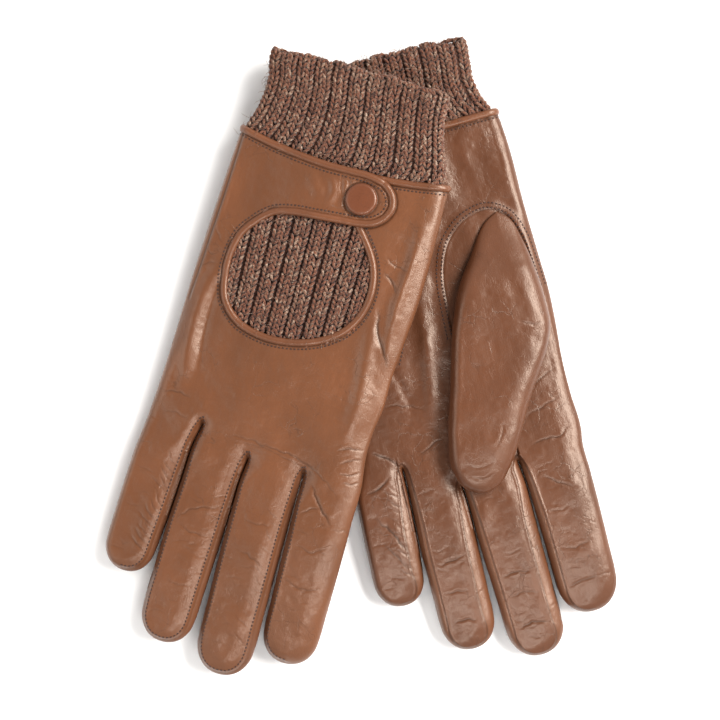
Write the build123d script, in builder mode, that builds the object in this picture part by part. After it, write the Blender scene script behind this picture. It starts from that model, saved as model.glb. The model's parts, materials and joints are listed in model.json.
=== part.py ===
from build123d import *
from dataclasses import dataclass
import math
import os

# A pair of lined leather driving gloves, laid down one over the other, in millimetres.
# The left glove lies palm up. The right glove lies palm down, partly on top of it.
# Each glove has its own frame: x across the hand towards the index finger, y towards the
# wrist, and the cuff edge at y = 0. Heights are counted from the mid-plane of the flattened
# hand towards its back. +Z is up, +Y is the wrist end, and z = 0 is the surface below.

# Materials' thicknesses
LEATHER = 0.7
LINING = 0.5
RIB_KNIT = 1.2
BINDING = 0.5
BINDING_WIDTH = 2.8

# Palm, from the cuff edge to the row where the fingers start
CUFF_HALF = 43.4
CUFF_DIP = 4.9
PALM_HALF = 45.3
PALM_WIDEST = 50.0
WAIST_HALF = 44.2
WAIST = 100.0
ROOT_HALF = 45.6
ROOT = 122.0
STUB_OVERLAP = 12.0

# Rib-knit cuff
KNIT_HALF = 41.5
KNIT_WAIST_HALF = 37.3
KNIT_WAIST = 14.0
KNIT_TOP = 34.0
KNIT_CORNER = 28.5
KNIT_BULGE = 0.3
CUFF_CLEARANCE = 0.05

# Window in the back of the hand, and the slot that joins it to the cuff under the strap
WINDOW_WIDTH = 60.6
WINDOW_HEIGHT = 52.0
WINDOW_CORNER = 24.0
WINDOW_X = -2.8
WINDOW_Y = -52.4
FOLD_X = -14.0
UNDERLAP_X = 3.0

# Strap over the slot
STRAP_GAP = 0.8
STRAP_TOP = -4.6
STRAP_LOW = -26.6
STRAP_TIP_START = 16.5
STRAP_TIP_LOW = -22.9
STRAP_TIP_X = 24.8
FOLD_CLEARANCE = 0.3
FOLD_FOOT = 2.5

# Snap fastener
SNAP_X = 12.2
SNAP_Y = -14.2
CAP_RADIUS = 6.25
CAP_HEIGHT = 0.9
CAP_EDGE = 0.35
CAP_SHOULDER = 0.85
CAP_CROWN = 0.5
CAP_SHOULDER_HEIGHT = 0.72
SOCKET_RADIUS = 4.5
SOCKET_HOLE = 2.2
SOCKET_CLEARANCE = 0.15
STUD_RADIUS = 2.0
STUD_NECK = 1.6
STUD_HEIGHT = 1.35
STUD_BALL_HEIGHT = 0.81
SHANK_RADIUS = 1.2
POST_RADIUS = 4.0
POST_THICKNESS = 0.5

# Thumb, whose swing centre is also the centre of the thumb hole
THUMB_X = 27.5
THUMB_Y = -63.0
THUMB_HOLE = 10.0
THUMB_GAP = 0.25
THUMB_ROUNDS = [(31.5, -46.5, 7.5), (23.5, -84.0, 19.3), (1.5, -135.0, 12.3)]

# Clearance at the finger bends, and how steeply a finger may droop in degrees
BACK_GAP = 0.15
BEND_GAP = 0.4
FLOOR_MARGIN = 0.15
BEND_DROOP_LIMIT = 6.0

# How far a hollow's outline is drawn past an open end before it is cut away
OVER = 1.0


@dataclass
class Finger:
    """One finger: its axis starts at (root, -ROOT) and leans towards the index side."""
    name: str
    root: float
    lean: float
    reach: float
    bend: float
    width: float
    tip_width: float
    outer: int = 0


@dataclass
class Glove:
    """One glove: up is +1 with the back of the hand upwards, -1 with the palm upwards."""
    side: str
    up: int
    place: tuple
    turn: float
    roll: float
    cavity: float
    thumb_cavity: float
    fingers: list

    @property
    def frame(self):
        tilted = Location(self.place, (0, -self.roll, 0))
        return Plane(tilted * Location((0, 0, 0), (0, 0, self.turn)))

    @property
    def half(self):
        """Half the thickness of the flattened hand, over the leather."""
        return self.cavity / 2 + LINING + LEATHER

    @property
    def thumb_thickness(self):
        return self.thumb_cavity + 2 * LINING + 2 * LEATHER

    @property
    def cut(self):
        """How far the palm side stops short of a finger's bend line."""
        return self.half + BEND_GAP

    def bend_frame(self, finger):
        """Frame at a finger's bend: y towards the tip, drooping until the tip lies down."""
        lean = math.radians(finger.lean)
        x = finger.root + finger.bend * math.sin(lean)
        y = -ROOT - finger.bend * math.cos(lean)
        at = self.frame.location * Location((x, y, 0), (0, 0, 180 + finger.lean))
        level = Plane(at)
        length = finger.reach - finger.bend
        rolled = finger.tip_width / 2 * abs(level.x_dir.Z)
        drop = level.origin.Z - self.half - rolled - FLOOR_MARGIN
        slope = math.degrees(math.asin(drop / length) + math.asin(level.y_dir.Z))
        return Plane(at * Location((0, 0, 0), (-slope, 0, 0)))


GLOVES = [
    Glove(
        side="left", up=-1, place=(13.2, 89.67, 6.18), turn=14.3, roll=1.8,
        cavity=5.2, thumb_cavity=5.4,
        fingers=[
            Finger("pinky", -38.0, -3.7, 62.2, 28.5, 20.6, 18.8, outer=1),
            Finger("ring", -18.1, -0.5, 85.8, 37.5, 22.0, 20.8),
            Finger("middle", 3.9, 2.1, 95.0, 41.0, 23.6, 22.6),
            Finger("index", 30.5, 0.5, 82.9, 38.0, 24.2, 23.0, outer=-1),
        ],
    ),
    Glove(
        side="right", up=1, place=(-5.8, 80.47, 17.25), turn=-17.2, roll=8.1,
        cavity=6.0, thumb_cavity=0.0,
        fingers=[
            Finger("pinky", -35.6, -2.3, 62.2, 28.5, 20.8, 19.0, outer=1),
            Finger("ring", -14.2, -0.5, 84.7, 37.0, 22.0, 20.6),
            Finger("middle", 8.8, 1.9, 90.6, 38.0, 23.6, 22.6),
            Finger("index", 33.3, 2.1, 78.4, 37.5, 22.8, 21.6, outer=-1),
        ],
    ),
]


def layer(frame, up, low, high, outline, mode=Mode.ADD):
    """Extrude an outline between two heights, counted from the frame towards the back."""
    with BuildSketch(frame.offset(up * low)) as face:
        outline()
    extrude(face.sketch, amount=up * (high - low), mode=mode)


def save(piece, name):
    """Label a finished piece and write its file."""
    piece.part.label = name
    export_step(piece.part, f"parts/{name}.step")
    return piece.part


# Outlines, drawn in the current sketch

def cuff_height(x):
    """Height of the dipped cuff edge at a distance from the middle of the hand."""
    radius = (CUFF_HALF ** 2 + CUFF_DIP ** 2) / (2 * CUFF_DIP)
    return radius - CUFF_DIP - math.sqrt(radius ** 2 - x ** 2)


def cuff_line(half, shift=0.0):
    """The dipped cuff edge, from the little finger's side to the index side."""
    end = cuff_height(half) + shift
    return ThreePointArc((-half, end), (0, shift - CUFF_DIP), (half, end))


def palm_face(inset, over=0.0):
    """The palm alone: sides and lower edge moved inwards, run past the cuff edge by over."""
    top = cuff_height(CUFF_HALF - inset) + over
    with BuildLine() as edge:
        cuff_line(CUFF_HALF - inset, over)
        for side in (1, -1):
            Spline(
                (side * (CUFF_HALF - inset), top),
                (side * (PALM_HALF - inset), -PALM_WIDEST),
                (side * (WAIST_HALF - inset), -WAIST),
                (side * (ROOT_HALF - inset), -ROOT + inset),
            )
        Line((-ROOT_HALF + inset, -ROOT + inset), (ROOT_HALF - inset, -ROOT + inset))
    make_face(edge.edges())


def stub_face(finger, inset, cut):
    """The part of a finger that belongs to the hand, which ends short of the bend."""
    lean = math.radians(finger.lean)
    start = -STUB_OVERLAP
    end = finger.bend - cut
    middle = (start + end) / 2
    with Locations((finger.root + middle * math.sin(lean), -ROOT - middle * math.cos(lean))):
        Rectangle(finger.width - 2 * inset, end - start, rotation=finger.lean)


def hand_face(glove, inset, cut, over=0.0):
    """Palm and finger stubs together, run past their open ends by over."""
    palm_face(inset, over)
    for finger in glove.fingers:
        stub_face(finger, inset, cut - over)


def between_fingers(glove):
    """The region from the little finger's middle to the index finger's middle."""
    first = glove.fingers[0].root
    last = glove.fingers[-1].root
    with Locations(((first + last) / 2, -1.5 * ROOT + LEATHER)):
        Rectangle(last - first, ROOT, mode=Mode.INTERSECT)


def stall_face(finger, inset, start):
    """A finger beyond its bend, from a start distance to its round tip."""
    length = finger.reach - finger.bend
    radius = finger.tip_width / 2 - inset
    half = finger.width / 2 - inset
    shoulder = length - finger.tip_width / 2
    with BuildLine() as edge:
        Polyline((-radius, shoulder), (-half, start), (half, start), (radius, shoulder))
        ThreePointArc((radius, shoulder), (0, shoulder + radius), (-radius, shoulder))
    make_face(edge.edges())


def window_face():
    """Window and slot, as cut out of the back of the hand."""
    with Locations((WINDOW_X, WINDOW_Y)):
        RectangleRounded(WINDOW_WIDTH, WINDOW_HEIGHT, WINDOW_CORNER, mode=Mode.SUBTRACT)
    slot_face()


def slot_face():
    """The slot under the strap, cut from what is drawn so far."""
    with Locations(((FOLD_X + UNDERLAP_X) / 2, STRAP_LOW / 2)):
        Rectangle(UNDERLAP_X - FOLD_X, -STRAP_LOW + CUFF_DIP, mode=Mode.SUBTRACT)


def thumb_hole_face():
    """The round mouth of the thumb, cut from what is drawn so far."""
    with Locations((THUMB_X, THUMB_Y)):
        Circle(THUMB_HOLE, mode=Mode.SUBTRACT)


def snap_hole_face(radius):
    """A hole at the snap, cut from what is drawn so far."""
    with Locations((SNAP_X, SNAP_Y)):
        Circle(radius, mode=Mode.SUBTRACT)


def cuff_band():
    """A strip along the cuff edge."""
    with BuildLine() as edge:
        cuff_line(CUFF_HALF)
        cuff_line(CUFF_HALF, -BINDING_WIDTH)
        for side in (1, -1):
            Line((side * CUFF_HALF, 0), (side * CUFF_HALF, -BINDING_WIDTH))
    make_face(edge.edges())


def strap_face(inset):
    """The strap, from its fold line to its round tip."""
    start = FOLD_X + FOLD_CLEARANCE
    with BuildLine() as edge:
        Polyline(
            (STRAP_TIP_START, STRAP_TIP_LOW + inset),
            (start, STRAP_LOW + inset),
            (start, STRAP_TOP - inset),
            (STRAP_TIP_START, STRAP_TOP - inset),
        )
        ThreePointArc(
            (STRAP_TIP_START, STRAP_TOP - inset),
            (STRAP_TIP_X - inset, (STRAP_TOP + STRAP_TIP_LOW) / 2),
            (STRAP_TIP_START, STRAP_TIP_LOW + inset),
        )
    make_face(edge.edges())


def thumb_face(inset):
    """The thumb lying along the palm: its narrow head, its widest part and its tip."""
    with BuildSketch(mode=Mode.PRIVATE) as outline:
        for x, y, radius in THUMB_ROUNDS:
            with Locations((x, y)):
                Circle(radius - inset)
        make_hull()
    add(outline.sketch)


def knit_face(inset, over=0.0):
    """The rib-knit cuff from the leather's cuff edge to its folded top, run past by over."""
    half = KNIT_HALF - inset
    waist = KNIT_WAIST_HALF - inset
    lift = CUFF_CLEARANCE - over
    with BuildLine() as edge:
        cuff_line(half, lift)
        for side in (1, -1):
            Polyline(
                (side * half, cuff_height(half) + lift),
                (side * waist, KNIT_WAIST),
                (side * waist, KNIT_CORNER + over),
            )
        ThreePointArc((-waist, KNIT_CORNER + over), (0, KNIT_TOP + over), (waist, KNIT_CORNER + over))
    make_face(edge.edges())


# Pieces of the hand

def back_leather(glove):
    """Back panel with the window and slot, and the snap's hole in the underlap."""
    with BuildPart() as panel:
        def outline():
            hand_face(glove, 0, BACK_GAP)
            window_face()
            snap_hole_face(SHANK_RADIUS)
        layer(glove.frame, glove.up, glove.half - LEATHER, glove.half, outline)
    return panel


def palm_leather(glove):
    """Palm panel with the thumb hole, and the sides that wrap round to the back panel."""
    with BuildPart() as panel:
        def plate():
            hand_face(glove, 0, glove.cut)
            thumb_hole_face()

        def sides():
            hand_face(glove, 0, glove.cut)
            with BuildSketch(mode=Mode.PRIVATE) as inner:
                hand_face(glove, LEATHER, glove.cut, OVER)
            add(inner.sketch, mode=Mode.SUBTRACT)
            with BuildSketch(mode=Mode.PRIVATE) as fingers:
                hand_face(glove, 0, glove.cut)
                between_fingers(glove)
            add(fingers.sketch, mode=Mode.SUBTRACT)
        layer(glove.frame, glove.up, -glove.half, LEATHER - glove.half, plate)
        layer(glove.frame, glove.up, LEATHER - glove.half, glove.half - LEATHER, sides)
    return panel


def fourchettes(glove):
    """The walls between the fingers, as far as the bends."""
    with BuildPart() as walls:
        def outline():
            hand_face(glove, 0, glove.cut)
            with BuildSketch(mode=Mode.PRIVATE) as inner:
                hand_face(glove, LEATHER, glove.cut, OVER)
            add(inner.sketch, mode=Mode.SUBTRACT)
            between_fingers(glove)
        layer(glove.frame, glove.up, LEATHER - glove.half, glove.half - LEATHER, outline)
    return walls


def knit_lining(glove):
    """Fine knit liner of the hand, which shows in the window."""
    outer = glove.half - LEATHER
    inner = outer - LINING
    with BuildPart() as liner:
        def back():
            hand_face(glove, LEATHER, glove.cut)
            snap_hole_face(POST_RADIUS)

        def walls():
            hand_face(glove, LEATHER, glove.cut)
            with BuildSketch(mode=Mode.PRIVATE) as hollow:
                hand_face(glove, LEATHER + LINING, glove.cut, OVER)
            add(hollow.sketch, mode=Mode.SUBTRACT)

        def palm():
            hand_face(glove, LEATHER, glove.cut)
            thumb_hole_face()
        layer(glove.frame, glove.up, inner, outer, back)
        layer(glove.frame, glove.up, -inner, inner, walls)
        layer(glove.frame, glove.up, -outer, -inner, palm)
    return liner


def knit_cuff(glove):
    """Rib-knit wrist: a flattened tube that stands out of the leather cuff."""
    outer = glove.half + KNIT_BULGE
    inner = outer - RIB_KNIT
    with BuildPart() as cuff:
        def sides():
            knit_face(0)
            with BuildSketch(mode=Mode.PRIVATE) as hollow:
                knit_face(RIB_KNIT, OVER)
            add(hollow.sketch, mode=Mode.SUBTRACT)
        layer(glove.frame, glove.up, inner, outer, lambda: knit_face(0))
        layer(glove.frame, glove.up, -inner, inner, sides)
        layer(glove.frame, glove.up, -outer, -inner, lambda: knit_face(0))
    return cuff


def edge_binding(glove):
    """Folded leather binding round the window, the underlap and both cuff edges."""
    with BuildPart() as binding:
        def window_rim():
            with Locations((WINDOW_X, WINDOW_Y)):
                RectangleRounded(
                    WINDOW_WIDTH + 2 * BINDING_WIDTH,
                    WINDOW_HEIGHT + 2 * BINDING_WIDTH,
                    WINDOW_CORNER + BINDING_WIDTH,
                )
            underlap = -WINDOW_Y - WINDOW_HEIGHT / 2 - CUFF_DIP
            with Locations((UNDERLAP_X + BINDING_WIDTH / 2, -CUFF_DIP - underlap / 2)):
                Rectangle(BINDING_WIDTH, underlap)
            cuff_band()
            window_face()
        layer(glove.frame, glove.up, glove.half, glove.half + BINDING, window_rim)
        layer(glove.frame, glove.up, -glove.half - BINDING, -glove.half, cuff_band)
    return binding


# Snap fastener: each piece is turned about the snap's axis

def turned(glove, profile):
    """Revolve a profile of (radius, height) points about the snap's axis."""
    with BuildPart() as piece:
        centre = glove.frame.from_local_coords((SNAP_X, SNAP_Y, 0))
        outward = glove.frame.z_dir * glove.up
        across = glove.frame.x_dir
        with BuildSketch(Plane(origin=centre, x_dir=across, z_dir=across.cross(outward))):
            with BuildLine():
                Polyline(*profile, close=True)
            make_face()
        revolve(axis=Axis(centre, outward))
    return piece


def snap_stud(glove):
    """Ball stud on the underlap, with the shank that goes through the leather."""
    base = glove.half
    return turned(glove, [
        (0, base - LEATHER), (SHANK_RADIUS, base - LEATHER), (SHANK_RADIUS, base),
        (STUD_NECK, base), (STUD_RADIUS, base + STUD_BALL_HEIGHT),
        (STUD_NECK, base + STUD_HEIGHT), (0, base + STUD_HEIGHT),
    ])


def snap_post(glove):
    """Flat backing washer of the stud, inside the underlap."""
    top = glove.half - LEATHER
    low = top - POST_THICKNESS
    return turned(glove, [(0, low), (POST_RADIUS, low), (POST_RADIUS, top), (0, top)])


def snap_cap(glove):
    """Leather-covered dome on the strap, solid down to its rim."""
    base = glove.half + STRAP_GAP + LEATHER
    return turned(glove, [
        (0, base), (CAP_RADIUS, base), (CAP_RADIUS, base + CAP_EDGE),
        (CAP_SHOULDER * CAP_RADIUS, base + CAP_SHOULDER_HEIGHT),
        (CAP_CROWN * CAP_RADIUS, base + CAP_HEIGHT),
        (0, base + CAP_HEIGHT),
    ])


def snap_socket(glove):
    """Ring under the strap that the stud clicks into."""
    low = glove.half + SOCKET_CLEARANCE
    top = glove.half + STRAP_GAP
    return turned(glove, [
        (SOCKET_HOLE, low), (SOCKET_RADIUS, low), (SOCKET_RADIUS, top), (SOCKET_HOLE, top),
    ])


# Strap

def strap(glove):
    """Strap over the slot, with a foot at its fold and a hole for the stud."""
    low = glove.half + STRAP_GAP
    with BuildPart() as band:
        def outline():
            strap_face(0)
            snap_hole_face(SOCKET_HOLE)

        def foot_face():
            strap_face(0)
            with Locations((FOLD_X + FOLD_FOOT / 2, STRAP_LOW / 2)):
                Rectangle(FOLD_FOOT, -2 * STRAP_LOW, mode=Mode.INTERSECT)
        layer(glove.frame, glove.up, low, low + LEATHER, outline)
        layer(glove.frame, glove.up, glove.half - LEATHER, low, foot_face)
    return band


def strap_binding(glove):
    """Binding along the strap's edges and round its tip."""
    low = glove.half + STRAP_GAP + LEATHER
    with BuildPart() as binding:
        def outline():
            strap_face(0)
            with BuildSketch(mode=Mode.PRIVATE) as inner:
                strap_face(BINDING_WIDTH)
            add(inner.sketch, mode=Mode.SUBTRACT)
        layer(glove.frame, glove.up, low, low + BINDING, outline)
    return binding


# Thumb

def thumb_leather(glove):
    """Thumb stall on the palm, open towards the palm's thumb hole."""
    near = -glove.half - THUMB_GAP
    far = near - glove.thumb_thickness
    with BuildPart() as stall:
        def mouth():
            thumb_face(0)
            thumb_hole_face()

        def rim():
            thumb_face(0)
            with BuildSketch(mode=Mode.PRIVATE) as inner:
                thumb_face(LEATHER)
            add(inner.sketch, mode=Mode.SUBTRACT)
        layer(glove.frame, glove.up, near - LEATHER, near, mouth)
        layer(glove.frame, glove.up, far + LEATHER, near - LEATHER, rim)
        layer(glove.frame, glove.up, far, far + LEATHER, lambda: thumb_face(0))
    return stall


def thumb_lining(glove):
    """Liner of the thumb. Where the thumb is pressed flat its two layers lie together."""
    near = -glove.half - THUMB_GAP - LEATHER
    far = near - glove.thumb_cavity - 2 * LINING
    with BuildPart() as liner:
        def mouth():
            thumb_face(LEATHER)
            thumb_hole_face()

        def rim():
            thumb_face(LEATHER)
            with BuildSketch(mode=Mode.PRIVATE) as inner:
                thumb_face(LEATHER + LINING)
            add(inner.sketch, mode=Mode.SUBTRACT)
        layer(glove.frame, glove.up, near - LINING, near, mouth)
        if glove.thumb_cavity:
            layer(glove.frame, glove.up, far + LINING, near - LINING, rim)
        layer(glove.frame, glove.up, far, far + LINING, lambda: thumb_face(LEATHER))
    return liner


# Finger stalls beyond the bends

def wall_ring(finger, outer, inner, start):
    """The side and tip walls of a finger between two insets."""
    stall_face(finger, outer, start)
    with BuildSketch(mode=Mode.PRIVATE) as hollow:
        stall_face(finger, inner, start)
    add(hollow.sketch, mode=Mode.SUBTRACT)


def side_region(finger, start):
    """Where the fourchettes are: the straight sides, without an outer leather side."""
    shoulder = finger.reach - finger.bend - finger.tip_width / 2
    width = 2 * finger.width
    shift = -finger.outer * finger.width
    with Locations((shift, (start + shoulder) / 2)):
        Rectangle(width, shoulder - start, mode=Mode.INTERSECT)


def stall_leather(glove, finger):
    """Back and palm panels of a finger with its tip, and the outer side if it has one."""
    frame = glove.bend_frame(finger)
    droop = math.sin(math.radians(BEND_DROOP_LIMIT))
    back_start = BACK_GAP + (glove.half * droop if glove.up < 0 else 0)
    with BuildPart() as stall:
        def walls():
            wall_ring(finger, 0, LEATHER, glove.cut)
            with BuildSketch(mode=Mode.PRIVATE) as sides:
                wall_ring(finger, 0, LEATHER, glove.cut)
                side_region(finger, glove.cut)
            add(sides.sketch, mode=Mode.SUBTRACT)
        inner = glove.half - LEATHER
        layer(frame, glove.up, inner, glove.half, lambda: stall_face(finger, 0, back_start))
        layer(frame, glove.up, -inner, inner, walls)
        layer(frame, glove.up, -glove.half, -inner, lambda: stall_face(finger, 0, glove.cut))
    return stall


def stall_fourchettes(glove, finger):
    """Side strips of a finger beyond its bend."""
    inner = glove.half - LEATHER
    with BuildPart() as sides:
        def outline():
            wall_ring(finger, 0, LEATHER, glove.cut)
            side_region(finger, glove.cut)
        layer(glove.bend_frame(finger), glove.up, -inner, inner, outline)
    return sides


def stall_lining(glove, finger):
    """Liner of a finger beyond its bend, closed at the tip."""
    frame = glove.bend_frame(finger)
    outer = glove.half - LEATHER
    inner = outer - LINING
    with BuildPart() as liner:
        def plate():
            stall_face(finger, LEATHER, glove.cut)

        def walls():
            wall_ring(finger, LEATHER, LEATHER + LINING, glove.cut)
        layer(frame, glove.up, inner, outer, plate)
        layer(frame, glove.up, -inner, inner, walls)
        layer(frame, glove.up, -outer, -inner, plate)
    return liner


# Every piece, by the function that makes it

HAND_PIECES = [
    back_leather, palm_leather, fourchettes, knit_lining, knit_cuff, edge_binding,
    snap_stud, snap_post, strap, strap_binding, snap_cap, snap_socket,
    thumb_leather, thumb_lining,
]
FINGER_PIECES = [
    (stall_leather, "leather"), (stall_fourchettes, "fourchettes"), (stall_lining, "lining"),
]


def build():
    """Make and write every piece of both gloves."""
    os.makedirs("parts", exist_ok=True)
    parts = []
    for glove in GLOVES:
        for make in HAND_PIECES:
            parts.append(save(make(glove), f"{glove.side}_{make.__name__}"))
        for finger in glove.fingers:
            for make, kind in FINGER_PIECES:
                name = f"{glove.side}_{finger.name}_{kind}"
                parts.append(save(make(glove, finger), name))
    return parts


PARTS = build()
box = Compound(children=PARTS).bounding_box()
print("low corner", [round(v, 3) for v in box.min])
print("high corner", [round(v, 3) for v in box.max])
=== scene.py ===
"""A pair of lined leather driving gloves with rib-knit cuffs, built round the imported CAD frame."""

import json
import math

import bpy
import numpy as np
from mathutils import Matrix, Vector, kdtree
from mathutils.geometry import delaunay_2d_cdt


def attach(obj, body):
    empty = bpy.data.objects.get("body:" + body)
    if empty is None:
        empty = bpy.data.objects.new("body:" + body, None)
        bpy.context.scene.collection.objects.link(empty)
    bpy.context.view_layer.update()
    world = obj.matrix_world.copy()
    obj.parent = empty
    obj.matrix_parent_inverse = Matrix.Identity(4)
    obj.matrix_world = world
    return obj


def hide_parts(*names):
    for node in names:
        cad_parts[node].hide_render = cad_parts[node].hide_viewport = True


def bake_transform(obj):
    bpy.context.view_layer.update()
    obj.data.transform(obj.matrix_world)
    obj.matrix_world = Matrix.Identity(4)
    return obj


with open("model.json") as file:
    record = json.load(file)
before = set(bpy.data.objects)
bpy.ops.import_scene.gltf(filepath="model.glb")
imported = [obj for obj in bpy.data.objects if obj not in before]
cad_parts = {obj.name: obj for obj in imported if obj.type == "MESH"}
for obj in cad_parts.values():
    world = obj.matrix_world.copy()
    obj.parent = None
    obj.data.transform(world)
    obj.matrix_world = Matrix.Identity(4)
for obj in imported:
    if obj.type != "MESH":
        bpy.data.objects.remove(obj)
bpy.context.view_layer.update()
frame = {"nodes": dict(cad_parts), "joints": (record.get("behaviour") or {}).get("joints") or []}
joints = {joint["name"]: joint for joint in frame["joints"]}

# All lengths below are millimetres in a glove's own frame, as in the CAD part: x across the
# hand towards the index finger, y towards the wrist with the cuff edge at y = 0, and heights
# counted from the mid-plane of the flattened hand, towards its back.
MM = 0.001

# The flattened hand, its snap and thumb, and the strap over the slot
ROOT = 122.0
CUFF_DIP = 4.9
PALM_DIP = 0.15
CUFF_HALF = 43.4
CUFF_END = 42.9
SNAP = (12.2, -14.2)
THUMB = (27.5, -63.0)
THUMB_GAP = 0.25
FOLD_X = -14.0
STRAP_ROOT = -19.0
STRAP_LIFT = 1.7
STRAP_THICK = 0.85

# How widely the sides of the flattened shells are rolled
INDEX_ROLL = 7.5
LITTLE_ROLL = 5.0
FINGER_ROLL = 9.0
FINGER_GAP = 0.35

# Fingers: where a stall starts before its bend, half the stretches that bend and that begin to
# droop, and how far beside a finger a point still counts as the finger's
STALL_START = 17.0
BLEND_HALF = 10.0
DROOP_HALF = 14.0
SIDE_PLAY = 1.2

# The walls between the fingers reach this far beyond their seams, and this far round a crotch
WALL_DEPTH = 5.5
CROTCH_WALL = 7.0

# Triangle sizes of the faces that are seen from above and of the hidden ones
FINE = 0.45
COARSE = 0.9

# Sewing. A binding is a flattened tube, sunk a little into the leather. The window's is set in
# from the points of its outline. A finger seam has its inset on the finger nearer the little one
# and on the next one, how far it passes above the crotch, and its inset at the tips.
EDGE_STEP = 0.5
BINDING_HALF = 1.5
BINDING_TALL = 1.15
BINDING_SINK = 0.15
BINDING_SIDES = 12
CUFF_BINDING = 0.3
WINDOW_IN = 1.3
STITCH = 1.55
STITCH_LONG = 1.0
STITCH_INSET = 2.55
THREAD = 0.31
THREAD_TALL = 0.2
THREAD_LIFT = 0.08
BACK_SEAM = (2.0, 1.6, 2.0, 1.4)
PALM_SEAM = (4.6, 3.2, 2.2, 0.9)

# Knit: two wales and a dark valley make one rib
RIB = 7.6
WALE = 3.05
ROW = 2.0
YARN = 0.63
KNIT_LIFT = 1.15
CORE_DEPTH = 1.25


def unit(v):
    v = np.asarray(v, float)
    return v / np.linalg.norm(v)


def smoothstep(low, high, value):
    t = np.clip((value - low) / (high - low), 0, 1)
    return t * t * (3 - 2 * t)


def hump(value, middle, width):
    """A smooth bump of height 1 at the middle."""
    return np.exp(-((value - middle) / width) ** 2)


def dome(share):
    """Height of a quarter circle of radius 1, at a share of the way in from its foot."""
    return np.sqrt(1 - (1 - np.clip(share, 0, 1)) ** 2)


def resample(points, step):
    """Points along a polyline at an even spacing close to step."""
    points = np.asarray(points, float)
    gaps = np.linalg.norm(np.diff(points, axis=0), axis=1)
    points = points[np.r_[True, gaps > 1e-9]]
    run = np.r_[0, np.cumsum(gaps[gaps > 1e-9])]
    count = max(2, int(round(run[-1] / step)) + 1)
    at = np.linspace(0, run[-1], count)
    return np.stack([np.interp(at, run, points[:, k]) for k in range(points.shape[1])], 1)


def smooth(points, step=EDGE_STEP):
    """A smooth curve through the points, sampled at an even spacing."""
    p = np.asarray(points, float)
    d = np.linalg.norm(np.diff(p, axis=0), axis=1)[:, None]
    slope = np.diff(p, axis=0) / d
    inner = (slope[:-1] * d[1:] + slope[1:] * d[:-1]) / (d[1:] + d[:-1])
    m = np.vstack([slope[:1], inner, slope[-1:]])
    t = np.linspace(0, 1, 17)[:-1, None]
    pieces = []
    for i in range(len(p) - 1):
        pieces.append(
            (2 * t ** 3 - 3 * t ** 2 + 1) * p[i]
            + (t ** 3 - 2 * t ** 2 + t) * m[i] * d[i]
            + (3 * t ** 2 - 2 * t ** 3) * p[i + 1]
            + (t ** 3 - t ** 2) * m[i + 1] * d[i]
        )
    return resample(np.vstack(pieces + [p[-1:]]), step)


def normals_2d(points):
    """Left-hand normals of a sampled polyline."""
    t = np.gradient(points, axis=0)
    t /= np.maximum(np.linalg.norm(t, axis=1), 1e-9)[:, None]
    return np.stack([-t[:, 1], t[:, 0]], 1)


def noise(xy, size, seed):
    """Smooth random heights of about unit size, whose bumps are size apart."""
    draw = np.random.default_rng(seed)
    lattice = draw.normal(0, 1, (256, 256))
    p = xy / size + 100.37
    cell = np.floor(p).astype(int)
    f = p - cell
    f = f * f * f * (f * (f * 6 - 15) + 10)
    i = cell[:, 0] % 255
    j = cell[:, 1] % 255
    return between(lattice, i, j, f)


def between(grid, i, j, f):
    """A grid's values between its cells' corners, at the shares f of each cell."""
    low = grid[i, j] * (1 - f[:, 0]) + grid[i + 1, j] * f[:, 0]
    high = grid[i, j + 1] * (1 - f[:, 0]) + grid[i + 1, j + 1] * f[:, 0]
    return low * (1 - f[:, 1]) + high * f[:, 1]


def waves(xy, kinds, shift=0):
    """Sum of noises, each given by its height, size and seed."""
    return sum(tall * noise(xy, size, seed + shift) for tall, size, seed in kinds)


class Near:
    """Nearest sample of a set of 2-D points."""

    def __init__(self, points):
        self.points = np.asarray(points, float)
        self.tree = kdtree.KDTree(len(self.points))
        for i, p in enumerate(self.points):
            self.tree.insert((p[0], p[1], 0), i)
        self.tree.balance()

    def __call__(self, xy):
        found = [self.tree.find((p[0], p[1], 0)) for p in xy]
        return np.array([f[2] for f in found]), np.array([f[1] for f in found])


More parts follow.
